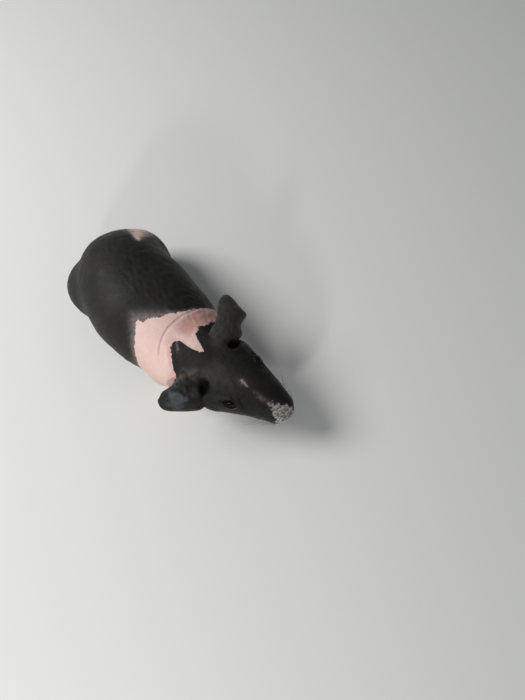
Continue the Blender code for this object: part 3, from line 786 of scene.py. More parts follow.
@dataclass(frozen=True)
class SkinFinish:
    """Bare skin: black or pink by the markings, darkened by painted shade in its hollows, finely creased,
    with a soft dull sheen.
    """

    black: tuple = seen(41, 40, 37)
    deep_black: tuple = seen(19, 18, 17)
    lilac: tuple = seen(120, 111, 110)
    pink: tuple = seen(227, 194, 185)
    rose: tuple = seen(196, 142, 133)
    cream: tuple = seen(230, 208, 197)
    brown: tuple = seen(127, 115, 107)
    ash_and_sheen: tuple = seen(78, 79, 85)
    # Near black that hollows and openings are painted toward, as painted shade.
    painted_shade_black: tuple = (0.004, 0.003, 0.003, 1)

    def material(self) -> bpy.types.Material:
        """Builds the material."""
        paper = Paper("skin")
        place = paper.space()
        broad = paper.noise(place, 35, 3)
        mid = paper.noise(place, 160, 4)
        fine = paper.noise(place, 900, 3)
        teeth = (paper.noise(place, 420, 1) - 0.5) * 5 + (paper.noise(place, 1100, 1) - 0.5) * 3.4
        rear, face = paper.attribute("rear"), paper.attribute("face")
        collar = (-rear).least(-face) + teeth * 0.8
        pinkness = collar.fade(-0.25, 0.4).most(paper.attribute("pale"))
        black = paper.blend(broad.fade(0.3, 0.7) * 0.5 + mid * 0.3, self.black, self.deep_black)
        # Painted shade: the black is darkened toward deep black round the eyes, on the temples and cheeks, on
        # the far side of the muzzle and along the right haunch's waist.
        black = paper.blend(paper.attribute("painted_shade"), black, self.deep_black)
        # Ash grey: a painted sheen on the near ear's flap, and a grey tint on the crown and the far ear.
        black = paper.blend(paper.attribute("ash_and_sheen") * (0.4 + mid.fade(0.35, 0.65) * 0.6), black, self.ash_and_sheen)
        black = paper.blend(paper.attribute("lilac") * (0.7 + 0.5 * mid), black, self.lilac)
        black = paper.blend(paper.attribute("brown") * (0.5 + mid), black, self.brown)
        pink = paper.blend(mid.fade(0.35, 0.75) * 0.35, self.pink, self.cream)
        # Rose on the pink: the real rosiness of the skin, with painted shade in the collar's creases and on
        # its far side.
        flush = (paper.attribute("flush") + (broad - 0.5) * 0.5).fade(0, 1)
        pink = paper.blend(flush * 0.8, pink, self.rose)
        colour = paper.blend(pinkness, black, pink)
        # Painted shade: the deep number darkens hollows toward near black, mixed with a fine random tone.
        dim = (1 - 0.8 * paper.attribute("deep")) * (0.93 + 0.14 * fine)
        colour = paper.blend(1 - dim, colour, self.painted_shade_black)
        net = paper.cells(place, 620)
        pores = paper.cells(place, 1500, "F1")
        creases = paper.noise(paper.space((1, 1.5, 1.2)), 420, 4, 0.6)
        relief = net.fade(0, 0.22) * 0.45 + pores * 0.25 + creases * 0.3 + fine * 0.4
        rough = 0.5 + 0.16 * mid - 0.05 * fine + 0.4 * paper.attribute("deep")
        return paper.finish(
            base_color=colour,
            roughness=rough,
            normal=paper.bump(relief, 0.00012),
            specular_ior_level=0.18,
            subsurface_weight=0.05,
            subsurface_radius=(0.004, 0.0016, 0.001),
            subsurface_scale=0.6,
            sheen_weight=0.015,
            sheen_roughness=0.45,
        )


@dataclass
class Skin:
    """The one skin of head, trunk, legs, feet and ears, with its folds, markings and painted shade."""

    voxel: float = 0.56
    faces: int = 190000
    eye_zone: float = 11  # how far round an eye the faces are split
    finish: SkinFinish = SkinFinish()

    def build(self, origin: Vector) -> Thing:
        """Makes the skin.

        Args:
            origin: Where the animal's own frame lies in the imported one, in metres.

        Returns:
            The finished object.
        """
        mesh = self._form()
        log.info("skin: %d corners melted", len(mesh.vertices))
        mesh = self._refined(mesh)
        self._sculpt(mesh)
        mesh = self._thinned(mesh)
        self._mark(mesh)
        mesh.materials.append(self.finish.material())
        return placed(mesh, "skin", origin)

    def _form(self) -> Mesh:
        """The body run together from its round forms, at full fineness."""
        trunk = Clay("trunk")
        trunk.loft(TORSO)
        for place, radii in SWELLINGS:
            trunk.ball(place, radii)
        body = Clay("body")
        body.add(trunk.melted(1.8, 60))
        body.loft(SKULL, HEAD)
        for place, radii in EAR_MOUNDS:
            body.ball(place, radii, HEAD)
        for side in Side:
            for place, radii in HEAD_SWELLINGS:
                body.ball(sided(place, side), radii, HEAD)
            for leg in LEGS:
                body.loft(sided(leg, side))
        whole = Clay("whole")
        whole.add(body.melted(1.4, 10))
        for side in Side:
            for pair in FEET.values():
                pair.flesh(whole, side)
            whole.add(EarForm(side).mesh())
            eye = EyeForm(side)
            whole.ball((0, 0, 0), (eye.radius + eye.lid,) * 3, eye.frame())
        return whole.melted(self.voxel, 3)

    def _refined(self, mesh: Mesh) -> Mesh:
        """Splits the faces round the eyes and the mouth, and softens where round forms meet.

        Args:
            mesh: The melted body.

        Returns:
            The same mesh, refined.
        """
        places = places_of(mesh)
        head = within(HEAD, places)
        near = (head[:, 1] < -44) & (np.abs(head[:, 0]) < 16) & (head[:, 2] > -20)
        for side in Side:
            eye = EyeForm(side)
            near |= np.linalg.norm(within(eye.frame(), places), axis=1) < self.eye_zone
        bm = bmesh.new()
        bm.from_mesh(mesh)
        bm.verts.ensure_lookup_table()
        roots, waists = np.zeros(len(places)), np.zeros(len(places))
        for side in Side:
            roots = np.maximum(roots, bell(away_from(sided((19, 7, 5), side), head), 9))
        for line in HAUNCH_WAISTS:
            waists = np.maximum(waists, bell(distance_to(line, places), 14))
        withers = away_from((19, -54, 65), places)
        for zone, rounds in ((roots > 0.35, 24), (waists > 0.5, 160), (withers < 9, 60)):
            soft = [bm.verts[i] for i in np.nonzero(zone)[0]]
            for _ in range(rounds):
                bmesh.ops.smooth_vert(
                    bm, verts=soft, factor=0.5, use_axis_x=True, use_axis_y=True, use_axis_z=True
                )
        inside = set(np.nonzero(near)[0].tolist())
        edges = [edge for edge in bm.edges if edge.verts[0].index in inside and edge.verts[1].index in inside]
        bmesh.ops.subdivide_edges(bm, edges=edges, cuts=1, use_grid_fill=True, smooth=0)
        bmesh.ops.triangulate(bm, faces=bm.faces)
        bm.to_mesh(mesh)
        bm.free()
        return mesh

    def _sculpt(self, mesh: Mesh) -> None:
        """Moves the corners into folds, lids, nostrils, mouth and ear cups.

        Args:
            mesh: The refined body, changed in place.
        """
        places, normals = places_of(mesh), vectors_of(mesh.vertex_normals, "vector")
        head = within(HEAD, places)
        height = np.zeros(len(places))
        for fold in BODY_FOLDS:
            height += fold.height(places)
        for side in Side:
            for fold in HEAD_FOLDS:
                height += Fold(sided(fold.line, side), fold.width, fold.depth, fold.swell).height(head)
        height += self._crumple(places, head)
        height += self._mouth(head)
        places += normals * height[:, None]
        for side in Side:
            self._ear_relief(side, places, head)
            self._ear_pit(side, places, head)
            self._eye(side, places)
        places[:, 2] -= np.minimum(places[:, 2], 0)
        move_to(mesh, places)

    def _crumple(self, places: Rows, head: Rows) -> Rows:
        """Low random unevenness, and the fine wrinkles behind the left shoulder and on the neck."""
        swell = Swell(34, 3).at(places) * 0.25 + Swell(13, 5).at(places) * 0.05
        warp = Swell(22, 11).at(places) * 1.1 + Swell(9, 12).at(places) * 0.3
        lines = np.sin((places @ np.array([0.661, 0.750, 0]) + warp) * math.tau / 3.1)
        flank = bell(away_from((21, -37, 64), places, (1.4, 1, 1.6)), 8.5)
        flank *= smoothstep(-50, -44, places[:, 1])
        neck_lines = np.sin((head[:, 1] + warp * 0.8) * math.tau / 4.6)
        neck = bell(head[:, 1] - 30, 9) * smoothstep(-12, 8, head[:, 2])
        small = Swell(4.2, 21).at(places) * 0.05
        face = smoothstep(14, 0, head[:, 1]) * smoothstep(-56, -44, head[:, 1])
        small += face * (Swell(8, 22).at(places) * 0.13 + Swell(3.4, 23).at(places) * 0.04)
        on_body = smoothstep(9, 16, places[:, 2])
        return (swell + small) * (0.25 + 0.75 * on_body) + lines * flank * 0.12 + neck_lines * neck * 0.04

    def _mouth(self, head: Rows) -> Rows:
        """The heights of the mouth, the cleft under the nose and the nostrils."""
        lips = distance_to(LIPS, head)
        cleft = distance_to(LIP_CLEFT, head)
        height = -1.5 * bell(lips, 0.42) + 0.35 * bell(lips - 1.3, 0.8)
        height += -0.8 * bell(cleft, 0.4) + 0.2 * bell(cleft - 1.1, 0.6)
        for side in Side:
            place, radii = sided(NOSTRIL[0], side), NOSTRIL[1]
            local = (head - np.array(place)) / np.array(radii)
            tilt = local[:, 2] + 0.5 * local[:, 0] * side.value
            away = np.sqrt(local[:, 0] ** 2 + (local[:, 1] * 0.4) ** 2 + tilt**2)
            height += -1.9 * bell(away, 0.85) + 0.3 * bell(away - 1.7, 0.6)
        return height

    def _ear_relief(self, side: Side, places: Rows, head: Rows) -> None:
        """Raises the ridges and sinks the hollows of one ear, both its faces alike."""
        outer = smoothstep(11, 15, head[:, 0] * side.value) * smoothstep(-8, -3, head[:, 1])
        above = np.maximum(smoothstep(4, 9, head[:, 2]), smoothstep(27, 31, head[:, 0] * side.value))
        height = sum(tall * bell(distance_to(line, head), wide) for line, wide, tall in EAR_RELIEF[side])
        height = (0.75 if side == Side.RIGHT else 0.5) * height
        height += 0.14 * Swell(6, 51).at(head * np.array([1, 1, 0]))
        upward = np.array(HEAD.to_3x3() @ Vector((side.value * 0.3, 0, 1)).normalized())
        places += upward * (height * outer * above)[:, None]

    def _ear_pit(self, side: Side, places: Rows, head: Rows) -> None:
        """Sinks the cup in front of the ear's root."""
        inward = np.array(HEAD.to_3x3() @ Vector((-side.value * 0.45, 0, -1)).normalized())
        places += inward * (EAR_PIT_DEEP * ear_pit(side, head))[:, None]

    def _eye(self, side: Side, places: Rows) -> None:
        """Opens the lids over one eye and lays them on the eyeball.

        Args:
            side: Of the eye.
            places: Of the skin's corners, changed in place.
        """
        eye = EyeForm(side)
        frame = eye.frame()
        local = within(frame, places)
        out = np.linalg.norm(local, axis=1)
        near = (out < 14) & (local[:, 2] > -2)
        local, out = local[near], out[near]
        spread = eye.opening(local)
        upper = smoothstep(-1, 1, local[:, 1] * -side.value)
        hug = 1 - smoothstep(1.15, 1.5, spread)
        lid = eye.radius + 0.75 * eye.lid + 0.12 * bell(spread - 1.14, 0.1)
        wanted = out + (lid - out) * hug * smoothstep(0, 1, local[:, 2])
        wanted -= (0.1 + 0.3 * upper) * bell(spread - 1.5, 0.13)
        wanted -= (0.04 + 0.08 * upper) * bell(spread - 1.95, 0.18)
        sunk = eye.radius - 1.3
        edge = smoothstep(1.05, 0.97, spread)
        wanted = wanted + (sunk - wanted) * edge
        matrix = np.array(frame)
        local *= (wanted / np.maximum(out, 1e-6))[:, None]
        places[near] = local @ matrix[:3, :3].T + matrix[:3, 3]

    def _thinned(self, mesh: Mesh) -> Mesh:
        """Fewer faces where the skin is plain."""
        thing = linked("thin", mesh)
        thin = thing.modifiers.new("thin", "DECIMATE")
        thin.ratio = min(1, self.faces / len(mesh.polygons))
        thin.use_collapse_triangulate = True
        return baked(thing)

    def _mark(self, mesh: Mesh) -> None:
        """Gives every corner the numbers that the markings, the painted shade and the painted sheen are
        painted from.
        """
        places = places_of(mesh)
        for name, values in marks(places).items():
            carry(mesh, name, values)


def ear_pit(side: Side, head: Rows) -> Rows:
    """How far into the cup before an ear places of the head's frame lie, from 0 to 1."""
    middle, way = np.array(sided(EAR_PIT, side)), np.array(sided(EAR_PIT_WAY, side))
    away = head - middle
    along = away[:, :2] @ way
    across = away[:, :2] @ np.array((-way[1], way[0]))
    reach = np.hypot(along / EAR_PIT_LONG, across / EAR_PIT_WIDE)
    level = smoothstep(-9, -4, away[:, 2]) * smoothstep(9.5, 7, away[:, 2])
    return (1 - smoothstep(0.2, 1.1, reach)) * level


def ear_share(places: Rows, head: Rows) -> Rows:
    """How surely places belong to an ear's flap, from 0 to 1; head is the places in its frame."""
    ears = np.zeros(len(places))
    for side in Side:
        flap = BVHTree.FromPolygons(*polygons_of(EarForm(side, 24, 4).mesh()))
        beside = head[:, 0] * side.value
        for i in np.nonzero((beside > 14) & (head[:, 1] > -12))[0]:
            away = flap.find_nearest(Vector(places[i]), 3)[3]
            if away is not None:
                ears[i] = max(ears[i], 1 - (away - 0.9) / 1.2)
    return np.clip(ears, 0, 1) * smoothstep(13, 18, np.abs(head[:, 0]))


def tail_reach(places: Rows) -> Rows:
    """How far out of the pale patch by the tail places lie: 0 on its line, about 1 at its edge."""
    start, end, narrow, wide = TAIL_PATCH
    way = np.array(end) - np.array(start)
    share = np.clip(((places - np.array(start)) @ way) / (way @ way), 0, 1)
    off = np.linalg.norm(places - np.array(start) - share[:, None] * way, axis=1)
    return off / (narrow + (wide - narrow) * share) + 0.16 * Swell(7, 31).at(places)


def most_of(*layers: Rows) -> Rows:
    """The largest of several numbers at each place."""
    return np.maximum.reduce(layers)


def marks(places: Rows) -> dict[str, Rows]:
    """The markings, the painted shade and the painted sheen at places of the animal.

    Args:
        places: One row each, in the animal's frame.

    Returns:
        By name: mm past the collar's rear and front borders, and shares from 0 to 1.
    """
    head = within(HEAD, places)
    x, y, z = places.T
    ears = ear_share(places, head)
    level = smoothstep(30, 46, z)
    rear_line = np.interp(x, *np.array(COLLAR_REAR).T)
    rear = y - (rear_line * level + (-47 + 1.5 * np.sin(x / 7)) * (1 - level))
    front_line = np.interp(x, *np.array(COLLAR_FRONT).T)
    face = most_of(np.minimum(front_line - y, head[:, 2] + 33), ears * 14 - 8)
    rear = np.where(ears > 0.5, 8, rear)
    near_side = smoothstep(8, -10, x)
    corner = bell(away_from((-20.8, -27, 75), places), 7)
    fading = np.maximum(rear, 0) / (1.4 + 3.2 * near_side + 4.2 * corner)
    lilac = smoothstep(-0.6, 0.4, rear) * np.exp(-(fading**1.6))
    lilac *= (0.5 + 0.5 * near_side) * (1 - ears)
    lilac *= 0.75 + 0.45 * smoothstep(-0.6, 0.6, Swell(3, 33).at(places))
    off = tail_reach(places)
    nape = bell(distance_to(NAPE_STREAK, places), 0.6)
    lilac = most_of(lilac, 0.5 * (1 - smoothstep(0.8, 2, off)), nape)
    speckle = smoothstep(-0.7, 0.7, Swell(1.5, 10).at(places))
    blaze = 1 - smoothstep(0, 1.35, distance_to(BLAZE, head) + 0.35 * Swell(2.4, 8).at(places))
    blaze *= 0.35 + 0.65 * speckle
    top = smoothstep(6, 11, head[:, 2])
    pale = most_of((1 - smoothstep(0.3, 1.2, off)) * 0.95, 0.5 * blaze * top)
    streak = bell(distance_to(STREAK, head), 1.9) * smoothstep(-20, -42, head[:, 1])
    blotch = bell(away_from((-3.6, -20.5, 16.6), head, (1, 1.4, 3)), 3)
    mottle = 0.5 + 0.5 * np.clip(Swell(2.6, 9).at(places), -1, 1)
    brown = most_of(streak * 0.6, blotch * 0.5) * (0.2 + 0.9 * mottle) * (0.6 + 0.5 * speckle)
    brown = most_of(brown, pale_nose(head) * (0.12 + 0.25 * mottle))
    rosy = ((18, -54.5, 67),) + BODY_FOLDS[1].line
    # Rose: painted shade along the main crease, over the second and third folds and on the far side of the
    # collar, with real rosiness by the collar's front border and on the feet.
    flush = most_of(
        0.6 * bell(distance_to(BODY_FOLDS[0].line, places), 1.2),
        bell(distance_to(rosy, places), 6.2),
        0.45 * bell(face + 2.5, 3) * near_side,
    )
    flush += 0.4 * bell(distance_to(BODY_FOLDS[2].line, places), 3)
    flush = np.clip(flush + 0.3 * smoothstep(-12, 22, x) * smoothstep(-46, -56, y), 0, 1)
    flush = most_of(flush, 0.45 * smoothstep(9, 3, z))
    # Painted shade on the pink of the near lower shoulder, where the surface turns away from the light.
    deep = 0.14 * smoothstep(-30, -40, x) * smoothstep(-30, -36, y) * smoothstep(-80, -70, y)
    # Painted shade on the far side of the head's front; more is added round the eyes, on the temples and
    # cheeks and along the right haunch's waist below.
    painted_shade = smoothstep(-3, 5, head[:, 0]) * smoothstep(-32, -50, head[:, 1])
    for side in Side:
        cup = away_from(sided(PIT_SHADE[0], side), head, PIT_SHADE[1])
        nostril = away_from(sided(NOSTRIL[0], side), head)
        eye = EyeForm(side)
        local = within(eye.frame(), places)
        out = np.linalg.norm(local, axis=1)
        spread = np.where(out < OUTSIDE, eye.opening(local), OUTSIDE)
        under = smoothstep(1.5, -1, local[:, 1] * -side.value) * smoothstep(-2.5, 1.5, local[:, 0])
        brown = most_of(brown, 0.5 * under * bell(spread - 1.12, 0.1))
        # Painted shade in the ear's cup, the nostrils, round the far eye's lids and in the eyes' openings.
        deep = most_of(
            deep,
            0.96 * (1 - smoothstep(0.7, 1.05, cup)),
            1 - smoothstep(0.9, 2, nostril),
            (0.6 if side == Side.LEFT else 0) * bell(spread - 1.15, 0.2),
            0.8 * smoothstep(1.12, 0.98, spread) * (local[:, 2] > 0) * (out < OUTSIDE),
        )
        painted_shade = most_of(
            painted_shade,
            bell(np.linalg.norm(local * np.array([0.7, 1, 1]), axis=1), 10.5),
            *(share * bell(away_from(sided(spot, side), head), reach) for spot, reach, share in PAINTED_SHADE_SPOTS),
        )
    # Painted shade along the right haunch's waist.
    painted_shade = most_of(painted_shade, 0.25 * bell(distance_to(HAUNCH_WAISTS[0], places), 4))
    pad = tuple(mirrored(place) for place in HEAD_FOLDS[-1].line)
    # Painted shade along the lips and the whisker pad's crease.
    deep = most_of(deep, 0.7 * bell(distance_to(LIPS, head), 0.7), 0.55 * bell(distance_to(pad, head), 0.6))
    flap = smoothstep(0.4, 0.9, ears)
    left_flap = flap * (head[:, 0] > 0)
    # Painted sheen: a pale bluish grey patch on the near ear's flap; a little of the same grey tints the
    # crown and the far ear.
    sheen = np.hypot((head[:, 0] + 37.5) / 8.5, (head[:, 1] - 13.5) / 9.5) + 0.22 * Swell(7, 52).at(head)
    crown = bell(away_from((-9, -1, 15), head, (1, 1.7, 1)), 8.5)
    ash_and_sheen = flap * (head[:, 0] < 0) * (1 - smoothstep(0.3, 1, sheen))
    ash_and_sheen = most_of(ash_and_sheen, 0.25 * crown, 0.2 * left_flap)
    earthy = bell(np.hypot(head[:, 0] + 26, head[:, 1] - 4.6), 3.8) * 0.32
    earthy = most_of(earthy, bell(away_from((12.5, 12, 14), head), 7) * 0.16)
    ridge = distance_to(EAR_RELIEF[Side.RIGHT][0][0], head)
    earthy = most_of(earthy * 0.8, 0.34 * bell(ridge, 2.7)) * smoothstep(2, 5, head[:, 2])
    earthy = most_of(earthy, 0.1 * left_flap)
    brown = most_of(brown, 0.07 * crown, earthy * (0.75 + 0.3 * mottle))
    return {
        "rear": rear, "face": face, "pale": pale, "lilac": lilac, "flush": flush, "deep": deep,
        "ash_and_sheen": ash_and_sheen, "brown": brown, "painted_shade": painted_shade,
    }


def pale_nose(head: Rows) -> Rows:
    """How far places of the head's frame lie in the pale fur of the nose, from 0 to 1."""
    x, y, z = head.T
    reach = np.interp(y, *np.array(PALE_NOSE[::-1])[::-1].T)
    low = np.interp(y, [-64, -58, -52, -47, -44], [-14, -11, -8.6, -6.6, -5.6])
    ragged = 0.8 * Swell(3.2, 61).at(head)
    share = smoothstep(reach + 0.6, reach - 0.8, x + ragged) * smoothstep(low - 0.8, low + 1, x + ragged)
    return share * smoothstep(-43.5, -46, y + ragged) * smoothstep(-9, -5, z)


def polygons_of(mesh: Mesh) -> tuple[list[Vector], list[tuple[int, ...]]]:
    """A mesh's corners and faces."""
    return [vert.co.copy() for vert in mesh.vertices], [tuple(face.vertices) for face in mesh.polygons]


def placed(mesh: Mesh, name: str, origin: Vector) -> Thing:
    """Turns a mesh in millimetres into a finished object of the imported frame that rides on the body."""
    mesh.transform(Matrix.Translation(origin) @ Matrix.Scale(1 / METRE, 4))
    mesh.shade_smooth()
    mesh.update()
    thing = linked(name, mesh)
    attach(thing, "root")
    return thing


@dataclass(frozen=True)
class EyeFinish:
    """A wet eye, nearly black, its iris dark brown."""

    pupil: tuple = (0.002, 0.002, 0.003, 1)
    iris: tuple = (0.002, 0.0015, 0.0015, 1)
    white: tuple = seen(72, 52, 48)

    def material(self) -> bpy.types.Material:
        """Builds the material."""
        paper = Paper("eye")
        out = paper.attribute("gaze") + (paper.noise(paper.space(), 900) - 0.5) * 0.05
        colour = paper.blend(out.fade(0.33, 0.42), self.pupil, self.iris)
        colour = paper.blend(out.fade(0.75, 0.86), colour, self.pupil)
        colour = paper.blend(out.fade(1.25, 1.4), colour, self.white)
        rough = 0.045 + 0.03 * paper.noise(paper.space(), 400)
        wet = 0.04 + 0.28 * paper.attribute("wet")
        return paper.finish(
            base_color=colour, roughness=rough, specular_ior_level=0.02, coat_weight=wet, coat_roughness=0.02
        )


@dataclass
class Eye:
    """An eyeball with its clear bulge in front."""

    form: EyeForm
    finish: EyeFinish = EyeFinish()

    def build(self, origin: Vector) -> Thing:
        """Makes the eye at its place.

        Args:
            origin: Where the animal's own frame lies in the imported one, in metres.

        Returns:
            The finished eyeball.
        """
        bm = bmesh.new()
        radius = self.form.radius
        bmesh.ops.create_uvsphere(bm, u_segments=64, v_segments=48, radius=radius)
        gaze, heights = [], []
        for vert in bm.verts:
            angle = math.acos(max(-1, min(1, vert.co.z / radius)))
            vert.co *= 1 + 0.03 * math.exp(-((angle / 0.7) ** 2))
            gaze.append(angle)
            heights.append(-self.form.side.value * vert.co.y / radius)
        bmesh.ops.transform(bm, matrix=self.form.frame(), verts=bm.verts)
        mesh = poured(bm, "eye")
        carry(mesh, "gaze", gaze)
        carry(mesh, "wet", smoothstep(-0.1, 0.25, np.array(heights)))
        mesh.materials.append(self.finish.material())
        side = self.form.side.name.lower()
        thing = placed(mesh, f"eyeball_{side}", origin)
        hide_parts(f"eye_{side}")
        return thing


@dataclass(frozen=True)
class HornFinish:
    """Claw horn, paler and clearer at its tip."""

    name: str
    root: tuple
    tip: tuple

    def material(self) -> bpy.types.Material:
        """Builds the material."""
        paper = Paper(self.name)
        streaks = paper.noise(paper.space((3, 0.6, 3)), 900)
        along = paper.attribute("along") + (streaks - 0.5) * 0.3
        colour = paper.blend(along.fade(0.2, 0.9), self.root, self.tip)
        rough = 0.32 + 0.15 * streaks
        return paper.finish(base_color=colour, roughness=rough, normal=paper.bump(streaks, 0.00006))


@dataclass
class Claws:
    """The claws of one foot."""

    foot: Foot
    finish: HornFinish

    def build(self, origin: Vector) -> Thing:
        """Makes the claws.

        Args:
            origin: Where the animal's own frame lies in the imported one, in metres.

        Returns:
            The finished piece.
        """
        pair, side = self.foot.value
        form = FEET[pair]
        clay = Clay("claws")
        form.claws(clay, side)
        mesh = clay.mesh()
        places = places_of(mesh)
        places[:, 2] = np.maximum(places[:, 2], 0)
        move_to(mesh, places)
        local = within(form.stance(side), places)
        ends = np.array([end for _, end in form.toes])
        nearest = np.linalg.norm(local[:, None, :2] - ends[None], axis=2).argmin(axis=1)
        along = np.linalg.norm(local[:, :2] - ends[nearest], axis=1) * (local[:, 1] < ends[nearest][:, 1])
        share = np.clip(along / (form.claw_length - form.claw_root), 0, 1)
        carry(mesh, "along", share)
        mesh.materials.append(self.finish.material())
        name = f"{pair}_{side.name.lower()}"
        thing = placed(mesh, f"claws_{name}", origin)
        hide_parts(*(f"claw_{name}_{n + 1}" for n in range(len(form.toes))))
        return thing


@dataclass(frozen=True)
class HairFinish:
    """Dull hair between a dark and a pale colour, by each hair's own tone."""

    name: str
    dark: tuple = seen(58, 52, 48)
    pale: tuple = seen(240, 236, 230)

    def material(self) -> bpy.types.Material:
        """Builds the material."""
        paper = Paper(self.name)
        tone = paper.attribute("tone") + (paper.noise(paper.space(), 1500) - 0.5) * 0.2
        colour = paper.blend(tone.fade(0, 1), self.dark, self.pale)
        rough = 0.55 + 0.2 * paper.attribute("tone")
        return paper.finish(base_color=colour, roughness=rough)


@dataclass
class Strand:
    """One hair: where it roots, the way it lies and stands, its length, width and tone."""

    root: Vector
    lie: Vector
    out: Vector
    length: float
    width: float
    lift: float
    curl: float
    tone: float
    patch: Pair


@dataclass
class Hairs:
    """Many hairs in one mesh, each a tapered three-sided blade."""

    name: str
    finish: HairFinish
    rows: int = 3

    def build(self, strands: list[Strand], origin: Vector) -> Thing:
        """Makes the piece.

        Args:
            strands: The hairs.
            origin: Where the animal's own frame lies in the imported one, in metres.

        Returns:
            The finished object, with its map named OFBake.
        """
        shape, faces = self._blade()
        roots, lie, out = (np.array([getattr(s, key) for s in strands]) for key in ("root", "lie", "out"))
        across = np.cross(lie, out)
        columns = ("length", "width", "lift", "curl")
        length, width, lift, curl = (np.array([getattr(s, key) for s in strands])[:, None] for key in columns)
        t = shape[None, :, 2]
        angle = lift - curl * t
        ahead = length * t * np.cos(angle)
        above = length * t * np.sin(angle) - 0.25
        thick = width * 0.5 * (1 - t) ** 0.7
        places = roots[:, None] + lie[:, None] * ahead[..., None] + out[:, None] * above[..., None]
        places += across[:, None] * (shape[None, :, 0] * thick)[..., None]
        places += out[:, None] * (shape[None, :, 1] * thick)[..., None]
        count, corners = len(strands), len(shape)
        shift = np.arange(count)[:, None, None] * corners
        all_faces = (faces[None] + shift).reshape(-1, 3)
        mesh = bpy.data.meshes.new(self.name)
        mesh.from_pydata(places.reshape(-1, 3).tolist(), [], all_faces.tolist())
        carry(mesh, "tone", np.repeat(np.array([s.tone for s in strands]), corners))
        patch = np.repeat(np.array([s.patch for s in strands]), corners, axis=0)
        patch[:, 0] += 0.003 * (np.tile(shape[:, 0], count) * 0.5)
        patch[:, 1] += 0.003 * (np.tile(shape[:, 2], count) - 0.5)
        layer = mesh.uv_layers.new(name="OFBake")
        layer.data.foreach_set("uv", patch[all_faces.ravel()].astype(np.float32).ravel())
        mesh.materials.append(self.finish.material())
        return placed(mesh, self.name, origin)

    def _blade(self) -> tuple[Rows, Rows]:
        """One hair's corners, from z = 0 at its root to z = 1 at its tip, and its faces."""
        bm = bmesh.new()
        bmesh.ops.create_cone(bm, cap_ends=False, segments=3, radius1=1, radius2=1, depth=1)
        upright = [e for e in bm.edges if abs(e.verts[0].co.z - e.verts[1].co.z) > 0.5]
        bmesh.ops.subdivide_edges(bm, edges=upright, cuts=self.rows - 1)
        top = [vert for vert in bm.verts if vert.co.z > 0.499]
        bmesh.ops.pointmerge(bm, verts=top, merge_co=(0, 0, 0.5))
        bmesh.ops.triangulate(bm, faces=bm.faces)
        bmesh.ops.recalc_face_normals(bm, faces=bm.faces)
        bm.verts.index_update()
        shape = np.array([(v.co.x, v.co.y, v.co.z + 0.5) for v in bm.verts])
        faces = np.array([[v.index for v in face.verts] for face in bm.faces])
        bm.free()
        return shape, faces


@dataclass
class Pelt:
    """Where hair can root: the faces of the finished skin, in the animal's frame."""

    skin: Thing
    origin: Vector

    def __post_init__(self) -> None:
        """Reads the skin's faces."""
        mesh = self.skin.data
        places = (places_of(mesh) - np.array(self.origin)) * METRE
        flat = np.empty(len(mesh.polygons) * 3, np.int32)
        mesh.polygons.foreach_get("vertices", flat)
        self.corners = places[flat.reshape(-1, 3)]
        self.middles = self.corners.mean(axis=1)
        cross = np.cross(self.corners[:, 1] - self.corners[:, 0], self.corners[:, 2] - self.corners[:, 0])
        self.areas = np.linalg.norm(cross, axis=1) / 2
        self.out = cross / (self.areas[:, None] * 2 + 1e-12)

    def roots(self, density: Rows, count: int, seed: int) -> tuple[Rows, Rows]:
        """Draws places of hairs.

        Args:
            density: How thickly hair grows on each face.
            count: How many to draw.
            seed: Of the draw.

        Returns:
            Their places and the directions out of the skin there.
        """
        draw = np.random.default_rng(seed)
        chance = density * self.areas
        picked = draw.choice(len(chance), size=count, p=chance / chance.sum())
        a, b = np.sqrt(draw.random(count)), draw.random(count)
        share = np.stack([1 - a, a * (1 - b), a * b], axis=1)
        return (self.corners[picked] * share[..., None]).sum(axis=1), self.out[picked]


def lying(way: Rows, out: Rows) -> Rows:
    """Directions laid flat on the skin."""
    flat = way - out * (way * out).sum(axis=1, keepdims=True)
    return flat / (np.linalg.norm(flat, axis=1, keepdims=True) + 1e-9)


